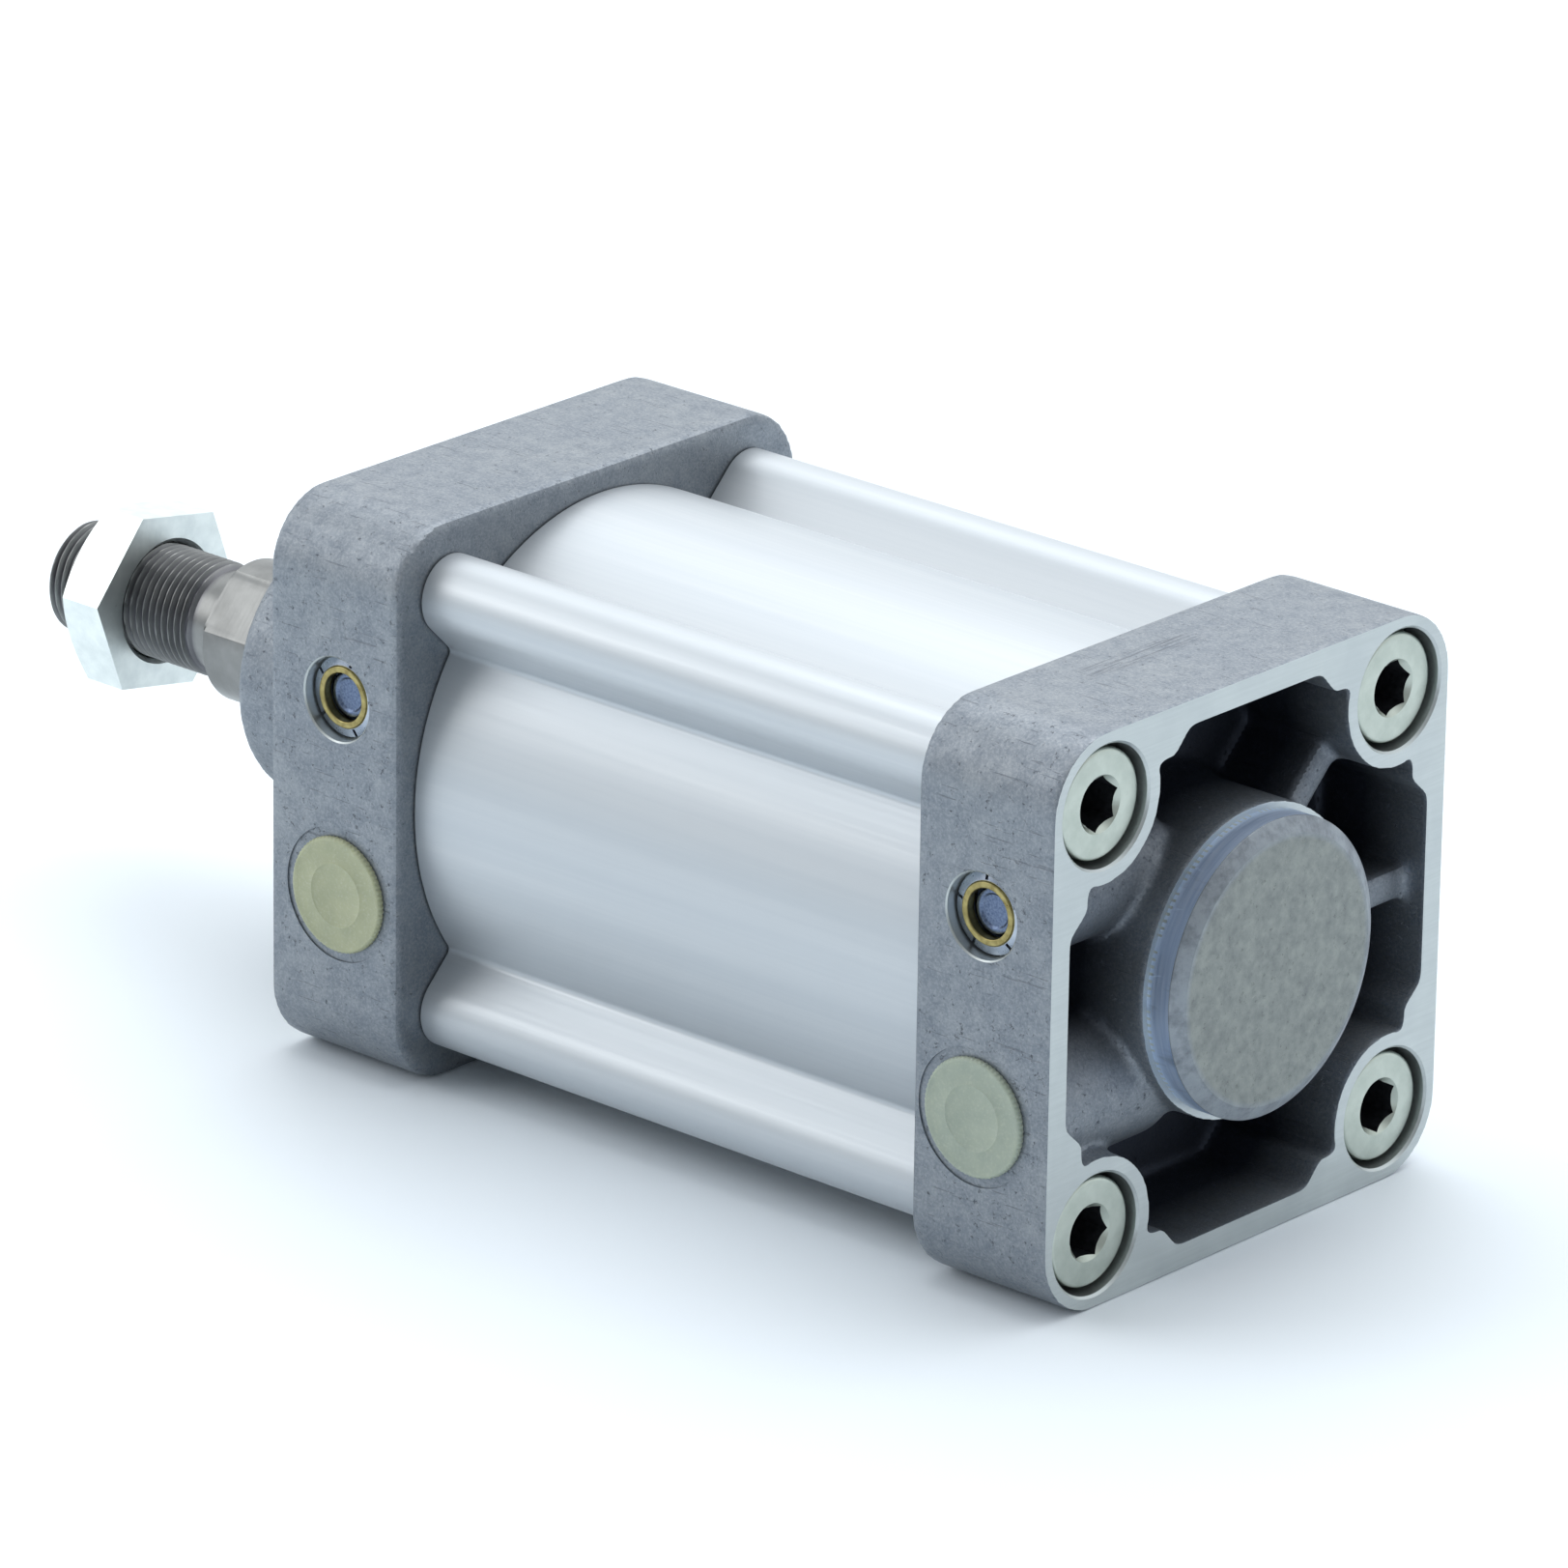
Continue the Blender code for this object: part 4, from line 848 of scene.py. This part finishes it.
def make_front_cap():
    """The front cap: the casting with its long collar, bored for the rod's bush and wiper."""
    radius = COLLAR_RADIUS
    floor = FRONT_FACE + POCKET_DEPTH
    collar = [
        (radius + 3 * MM, floor + OVERRUN),
        (radius + 0.3 * MM, floor - 4 * MM),
        (radius + 0.2 * MM, FRONT_FACE),
        (radius, COLLAR_END + 1.2 * MM),
        (radius - 1.2 * MM, COLLAR_END),
    ]
    cap = casting("front", FRONT_FACE, -1, collar)
    cutters = cap_cutters("front", FRONT_FACE, -1)
    cutters.append(ring_cutter("face_mill", MILL_RADIUS, radius + 1 * MM, COLLAR_END, FRONT_FACE))
    seat = FRONT_SPIGOT_END - SEAL_SEAT_LENGTH
    chamber_end = FRONT_FACE + 8 * MM
    wiper_seat = COLLAR_END + WIPER_DEPTH
    lip = 0.6 * MM
    cutters.append(rod_cutter("bores", [
        (SEAL_SEAT_RADIUS, FRONT_SPIGOT_END + OVERRUN),
        (SEAL_SEAT_RADIUS, seat),
        (CHAMBER_RADIUS, seat),
        (CHAMBER_RADIUS, chamber_end),
        (BUSH_RADIUS, chamber_end),
        (BUSH_RADIUS, wiper_seat),
        (WIPER_RADIUS, wiper_seat),
        (WIPER_RADIUS, COLLAR_END + lip),
        (WIPER_RADIUS + lip, COLLAR_END),
        (WIPER_RADIUS + lip, COLLAR_END - OVERRUN),
    ]))
    cutters.append(seal_groove("front"))
    combine(cap, "DIFFERENCE", cutters, "MANIFOLD")
    smooth(cap, 28)
    show(cap, "cylinder_body", "cast_aluminium", "front_cap")


# ---- barrel

BARREL_RADIUS = 44.3 * MM
LOBE_RADIUS = 6.8 * MM
CREASE = 1.2 * MM


def barrel_outline():
    """The round tube with a rounded screw channel at each corner, joined by small creases."""
    diagonal = math.pi / 4
    reach = SCREW_SQUARE * math.sqrt(2)
    crease_across = LOBE_RADIUS + CREASE
    crease_along = math.sqrt((BARREL_RADIUS + CREASE) ** 2 - crease_across ** 2)
    edge = math.atan2(crease_across, crease_along)
    right_angle = math.pi / 2
    lower = arc((crease_along, -crease_across), CREASE, math.pi - edge, right_angle, 6)
    lobe = arc((reach, 0), LOBE_RADIUS, -right_angle, right_angle, 28)
    upper = arc((crease_along, crease_across), CREASE, -right_angle, edge - math.pi, 6)
    channel = []
    for out, across in lower + lobe + upper:
        channel.append((
            out * math.cos(diagonal) - across * math.sin(diagonal),
            out * math.sin(diagonal) + across * math.cos(diagonal),
        ))
    tube = arc((0, 0), BARREL_RADIUS, edge - diagonal, diagonal - edge, 40)
    return quarter_turns(tube[1:-1] + channel)


def make_barrel():
    """The extruded profile barrel with its bore and four screw channels."""
    outlines = [barrel_outline(), arc((0, 0), BORE_RADIUS, 0, TURN * 95 / 96, 95)]
    outlines += [arc(place, CHANNEL_RADIUS, 0, TURN * 31 / 32, 31) for place in screw_places()]
    low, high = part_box("barrel")
    item = thing("profile_barrel", extrusion(outlines, low.x, high.x), ANODISED)
    smooth(item, 35)
    show(item, "cylinder_body", "barrel_anodised", "barrel")


# ---- cap screws

def make_cap_screws():
    """Eight socket screws, each turned to its own angle."""
    recess = 10 * MM
    key = 8 * MM
    corners = [
        (0, 0, 0),
        (SCREW_HEAD_RADIUS, 0, 0.7 * MM),
        (SCREW_HEAD_RADIUS, -recess, 0),
        (5 * MM, -recess, 0),
        (5 * MM, -41 * MM, 0.8 * MM),
        (0, -41 * MM, 0),
    ]
    master = thing("screw_master", lathe(filleted(corners, 4), 64), SCREW_ZINC)
    # the socket's cutter carries the painted shade onto the socket's walls
    socket = thing("socket", hex_mesh(key, -6.5 * MM, OVERRUN), SOCKET_SHADE)
    mouth_radius = 4.85 * MM
    mouth = thing("mouth", turned([
        (mouth_radius + OVERRUN, OVERRUN),
        (mouth_radius, 0),
        (mouth_radius - 0.8 * MM, -0.8 * MM),
    ], 64), SCREW_ZINC)
    combine(master, "DIFFERENCE", [socket, mouth])
    smooth(master, 25)
    angles = {"rear": (14, 20, 52, 30), "front": (8, 41, 25, 56)}
    for prefix, turn in (("rear", REARWARD), ("front", FORWARD)):
        for number, angle in enumerate(angles[prefix], 1):
            node = f"{prefix}_cap_screw_{number}"
            low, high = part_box(node)
            head = high.x if prefix == "rear" else low.x
            centre = (low + high) / 2
            mesh = master.data.copy()
            mesh.transform(Matrix.Rotation(math.radians(angle), 4, "Z"))
            place = (head, centre.y, centre.z)
            screw = thing(f"{prefix}_socket_screw_{number}", mesh, None, turn, place)
            show(screw, "cylinder_body", "zinc_screw", node)
    bpy.data.objects.remove(master)


# ---- port plugs and cushion adjusters

def make_port_plug(prefix, material):
    """A transit plug: a low disc with a finely ribbed edge and a hollow stem in the port."""
    centre = middle(prefix + "_port_plug")
    rise = -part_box(prefix + "_port_plug")[0].y - HALF_WIDTH
    stem = 8.03 * MM
    rim = 10 * MM
    profile = [
        (0, rise - 0.16 * MM),
        (5.1 * MM, rise - 0.16 * MM),
        (5.5 * MM, rise),
        (5.8 * MM, rise - 0.14 * MM),
        (8.9 * MM, rise - 0.14 * MM),
        (9.3 * MM, rise),
        (9.65 * MM, rise - 0.04 * MM),
        (rim, rise - 0.35 * MM),
        (rim, -0.2 * MM),
        (stem, -0.2 * MM),
        (stem, -9 * MM),
        (stem - 1.2 * MM, -9 * MM),
        (stem - 1.2 * MM, -1 * MM),
        (0, -1 * MM),
    ]
    sides = 288
    mesh = lathe(profile, sides)
    ribs = 72
    for vertex in mesh.vertices:
        across = Vector(vertex.co[:2])
        if across.length > rim - 0.05 * MM:
            angle = math.atan2(across.y, across.x)
            depth = 0.16 * MM * (0.5 + 0.5 * math.cos(ribs * angle))
            across = across.normalized() * (across.length - depth)
            vertex.co = (across.x, across.y, vertex.co.z)
    place = (centre.x, -HALF_WIDTH, centre.z)
    item = thing(prefix + "_transit_plug", mesh, material, SIDEWAYS, place)
    smooth(item, 40)
    show(item, prefix + "_plug", "plug_plastic", prefix + "_port_plug")


def make_adjuster(prefix, first_slot):
    """The adjusting screw deep in its recess, and the slotted brass ring that keeps it in."""
    centre = middle(prefix + "_cushion_screw")
    place = (centre.x, -HALF_WIDTH, centre.z)
    corners = in_mm(
        (0, -3.45, 0),
        (2.6, -3.45, 0.2),
        (3.0, -3.1, 0.2),
        (3.8, -3.1, 0.3),
        (3.8, -5, 0),
        (5.2, -5, 0),
        (5.2, -7, 0),
        (3.7, -7, 0),
        (3.7, -9.4, 0),
        (5.2, -9.4, 0),
        (5.2, -11, 0),
        (2.2, -11, 0),
        (2.2, -17, 0),
        (0.6, -19, 0),
        (0, -19, 0),
    )
    screw = thing(prefix + "_adjusting_screw", lathe(filleted(corners, 3), 64), ADJUSTER, SIDEWAYS, place)
    smooth(screw)
    show(screw, prefix + "_adjuster", "adjuster_steel", prefix + "_cushion_screw")
    section = in_mm(
        (4.15, -1.4, 0.25),
        (5.2, -1.4, 0.25),
        (5.35, -1.75, 0.1),
        (6.9, -2.2, 0.15),
        (6.9, -3.1, 0),
        (4.15, -3.1, 0),
    )
    ring = thing(prefix + "_slotted_ring", lathe(filleted(section, 4), 120), BRASS, SIDEWAYS, place)
    slots = []
    for number in range(5):
        slot = thing("slot", box_mesh(
            (5.5 * MM, -0.28 * MM, -4 * MM),
            (8 * MM, 0.28 * MM, 0),
        ), BRASS)
        spin = Matrix.Rotation(math.radians(first_slot + 72 * number), 4, "Z")
        slot.data.transform(spin)
        slot.rotation_euler = SIDEWAYS
        slot.location = place
        slots.append(slot)
    combine(ring, "DIFFERENCE", slots)
    ring.data.materials.append(FLANGE)
    flange = len(ring.data.materials) - 1
    for face in ring.data.polygons:
        if Vector(face.center[:2]).length > 5.4 * MM:
            face.material_index = flange
    smooth(ring)
    show(ring, "cylinder_body", "brass_ring", prefix + "_retaining_ring")


# ---- rod and nut

THREAD_RADIUS = 10 * MM
THREAD_PITCH = 1.5 * MM
THREAD_DEPTH = 0.92 * MM
THREAD_LENGTH = 34.5 * MM
NECK_RADIUS = 9.0 * MM
TIP_CHAMFER = 1.4 * MM
ROD_RADIUS = 12.5 * MM
ROD_FLAT = 11 * MM
FLAT_TURN = math.radians(138)
FLAT_LENGTH = 14 * MM
ROD_SHOULDER = ROD_TIP + 40 * MM


def rod_angles():
    """Angles round the rod, with one on each edge of the two wrench flats."""
    edge = math.acos(ROD_FLAT / ROD_RADIUS)
    angles = [TURN * side / 96 for side in range(96)]
    for side in (0, math.pi):
        for corner in (-edge, edge):
            angles.append((FLAT_TURN + side + corner) % TURN)
    return sorted(angles)


def thread_radius(angle, x):
    """The radius of the cut thread at a place: a 60 degree groove with a flat crest and a round root."""
    phase = (x / THREAD_PITCH - angle / TURN) % 1
    groove = min(1.0, max(0.0, 1.18 - abs(phase - 0.5) * 2.66))
    groove = groove * (1.25 - 0.25 * groove)
    radius = THREAD_RADIUS - THREAD_DEPTH * groove
    tip_cone = THREAD_RADIUS - TIP_CHAMFER + (x - ROD_TIP)
    run_out = NECK_RADIUS + max(0.0, ROD_TIP + THREAD_LENGTH - x)
    return min(radius, tip_cone, run_out)


def flat_radius(angle):
    """The radius of the rod where the two wrench flats are cut."""
    return min(ROD_RADIUS, ROD_FLAT / max(0.3, abs(math.cos(angle - FLAT_TURN))))


def make_rod():
    """The piston rod as one surface of rings: thread, neck, wrench flats and the ground shaft."""
    angles = rod_angles()
    rows = []
    steps = 16
    count = int(THREAD_LENGTH / THREAD_PITCH * steps)
    for step in range(count + 1):
        x = ROD_TIP + THREAD_LENGTH * step / count
        rows.append((x, [thread_radius(angle, x) for angle in angles]))
    chamfer = 0.6 * MM
    root = 0.4 * MM
    flat_end = ROD_SHOULDER + FLAT_LENGTH
    flats = [flat_radius(angle) for angle in angles]
    rows.append((ROD_SHOULDER - root, [NECK_RADIUS] * len(angles)))
    rows.append((ROD_SHOULDER, [NECK_RADIUS + root] * len(angles)))
    rows.append((ROD_SHOULDER, [min(ROD_RADIUS - chamfer, radius) for radius in flats]))
    rows.append((ROD_SHOULDER + chamfer, flats))
    rows.append((flat_end - 0.3 * MM, flats))
    rod_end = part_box("piston_rod")[1].x
    sleeve_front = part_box("front_cushion_sleeve")[0].x - GAP
    tie = 8 * MM
    inner = [
        (flat_end, ROD_RADIUS),
        (sleeve_front, ROD_RADIUS),
        (sleeve_front, tie),
        (rod_end - OVERRUN, tie),
        (rod_end, tie - OVERRUN),
    ]
    rows += [(x, [radius] * len(angles)) for x, radius in inner]
    work = bmesh.new()
    rings = []
    for x, radii in rows:
        ring = []
        for angle, radius in zip(angles, radii):
            ring.append(work.verts.new((x, radius * math.cos(angle), radius * math.sin(angle))))
        rings.append(ring)
    for before, after in zip(rings, rings[1:]):
        for side in range(len(angles)):
            onward = (side + 1) % len(angles)
            work.faces.new((before[side], before[onward], after[onward], after[side]))
    centre_depth = 1.6 * MM
    cone = ROD_TIP + centre_depth
    dimple = []
    for angle in angles:
        dimple.append(work.verts.new((ROD_TIP, 2.2 * MM * math.cos(angle), 2.2 * MM * math.sin(angle))))
    bottom = work.verts.new((cone, 0, 0))
    for side in range(len(angles)):
        onward = (side + 1) % len(angles)
        work.faces.new((rings[0][side], dimple[side], dimple[onward], rings[0][onward]))
        work.faces.new((dimple[side], bottom, dimple[onward]))
    work.faces.new(list(reversed(rings[-1])))
    item = thing("rod", closed_mesh(work), ROD_STEEL)
    smooth(item, 24)
    show(item, "rod", "rod_steel", "piston_rod")


def make_nut():
    """The thin hexagon nut, chamfered on both faces, with a plain-bored mouth."""
    low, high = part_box("rod_lock_nut")
    flats = 30 * MM
    length = high.x - low.x
    nut = thing("hexagon_nut", hex_mesh(flats, 0, length, math.radians(50)), NUT_ZINC)
    rim = 14.3 * MM
    corner = flats / math.sqrt(3)
    fall = (corner - rim) * math.tan(math.radians(30))
    over = 0.4 * MM
    slope = 0.577
    lens = thing("lens", turned([
        (rim, length),
        (corner + over, length - fall - over * slope),
        (corner + over, fall + over * slope),
        (rim, 0),
    ], 144), NUT_ZINC)
    hole = 10.3 * MM
    mouth = hole + 0.8 * MM
    bore = thing("bore", turned([
        (mouth, length + OVERRUN),
        (mouth, length),
        (hole, length - 0.8 * MM),
        (hole, 0.8 * MM),
        (mouth, 0),
        (mouth, -OVERRUN),
    ], 96), NUT_ZINC)
    combine(nut, "INTERSECT", [lens])
    combine(nut, "DIFFERENCE", [bore])
    edge = nut.modifiers.new("edge", "BEVEL")
    edge.width = 0.18 * MM
    edge.segments = 2
    edge.limit_method = "ANGLE"
    edge.angle_limit = math.radians(18)
    settle(nut)
    nut.data.transform(Matrix.Translation((low.x, 0, 0)) @ Euler(REARWARD).to_matrix().to_4x4())
    smooth(nut, 30)
    show(nut, "lock_nut", "nut_zinc", "rod_lock_nut")


def make_wiper():
    """The rubber wiper in the collar's mouth."""
    low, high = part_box("rod_wiper_seal")
    running = ROD_RADIUS + GAP
    front = low.x
    corners = [
        (18 * MM, high.x, 0),
        (18 * MM, COLLAR_END + 1 * MM, 0.2 * MM),
        (15.2 * MM, COLLAR_END + 1 * MM, 0.4 * MM),
        (13.6 * MM, front, 0.15 * MM),
        (running, front, 0.1 * MM),
        (running, front + 2 * MM, 0.3 * MM),
        (14 * MM, COLLAR_END + 4 * MM, 0.5 * MM),
        (running, high.x - 1.5 * MM, 0.2 * MM),
        (running, high.x, 0),
    ]
    item = thing("wiper_seal", lathe(filleted(corners, 3), 96), RUBBER, REARWARD)
    smooth(item)
    show(item, "cylinder_body", "seal_rubber", "rod_wiper_seal")


def dress_inner_nodes():
    """Give the CAD nodes inside the cylinder their materials."""
    finishes = {
        "rod_bearing_bush": BRONZE,
        "piston_guide_ring": GUIDE,
        "piston_magnet_ring": MAGNET,
        "piston_nut": SCREW_ZINC,
        "piston_bore_seal": RUBBER,
    }
    for prefix in ("rear", "front"):
        finishes[prefix + "_barrel_seal"] = RUBBER
        finishes[prefix + "_cushion_seal"] = RUBBER
        finishes[prefix + "_cushion_screw_seal"] = RUBBER
        finishes[prefix + "_piston_seal"] = RUBBER
        finishes[prefix + "_piston_half"] = TURNED
        finishes[prefix + "_cushion_sleeve"] = TURNED
    for node, material in finishes.items():
        for slot in frame["nodes"][node].material_slots:
            slot.material = material


# ---- floor and light

def make_floor():
    """A large pale sheet that the cylinder stands on."""
    reach = 4.0
    under = MOUNTS["base_face"].z
    bpy.ops.mesh.primitive_grid_add(x_subdivisions=8, y_subdivisions=8, size=2 * reach)
    floor = bpy.context.object
    floor.name = "floor"
    floor.location = (middle("barrel").x, 0, under)
    look = Finish("pale_floor", roughness=0.6)
    cloud = look.noise(0.3)
    colour = look.blend(look.reach(cloud, 0.3, 0.7), linear(238, 246, 252), linear(241, 248, 254))
    floor.data.materials.append(look.finish(colour))


def area_light(name, place, aim, size, power):
    """A soft box turned towards a point."""
    data = bpy.data.lights.new(name, "AREA")
    data.shape = "RECTANGLE"
    data.size = size
    data.size_y = size
    data.energy = power
    lamp = bpy.data.objects.new(name, data)
    lamp.location = place
    lamp.rotation_euler = (Vector(aim) - Vector(place)).to_track_quat("-Z", "Y").to_euler()
    bpy.context.scene.collection.objects.link(lamp)


def make_light():
    """A pale room, dimmer in front and to the right, and large soft boxes overhead and to the left."""
    world = bpy.data.worlds.new("room")
    world.use_nodes = True
    nodes = world.node_tree.nodes
    links = world.node_tree.links
    place = nodes.new("ShaderNodeTexCoord")
    towards = nodes.new("ShaderNodeVectorMath")
    towards.operation = "DOT_PRODUCT"
    links.new(place.outputs["Generated"], towards.inputs[0])
    towards.inputs[1].default_value = (0.55, -0.83, 0)
    strength = nodes.new("ShaderNodeMapRange")
    strength.interpolation_type = "SMOOTHSTEP"
    links.new(towards.outputs["Value"], strength.inputs["Value"])
    strength.inputs["From Min"].default_value = -0.3
    strength.inputs["From Max"].default_value = 0.6
    strength.inputs["To Min"].default_value = 1.25
    strength.inputs["To Max"].default_value = 0.42
    background = nodes["Background"]
    background.inputs["Color"].default_value = (0.93, 0.97, 1.0, 1)
    links.new(strength.outputs["Result"], background.inputs["Strength"])
    bpy.context.scene.world = world
    area_light("overhead", (-0.25, 0.35, 1.1), (-0.1, 0, 0), 1.3, 8)
    area_light("left_side", (-0.9, -0.7, 0.6), (-0.1, 0, 0), 0.7, 3)


make_camera()
make_rear_cap()
make_front_cap()
make_barrel()
make_cap_screws()
make_port_plug("rear", REAR_PLUG)
make_port_plug("front", FRONT_PLUG)
make_adjuster("rear", 24)
make_adjuster("front", 4)
make_rod()
make_nut()
make_wiper()
dress_inner_nodes()
make_floor()
make_light()
bpy.context.scene.view_settings.view_transform = "Standard"
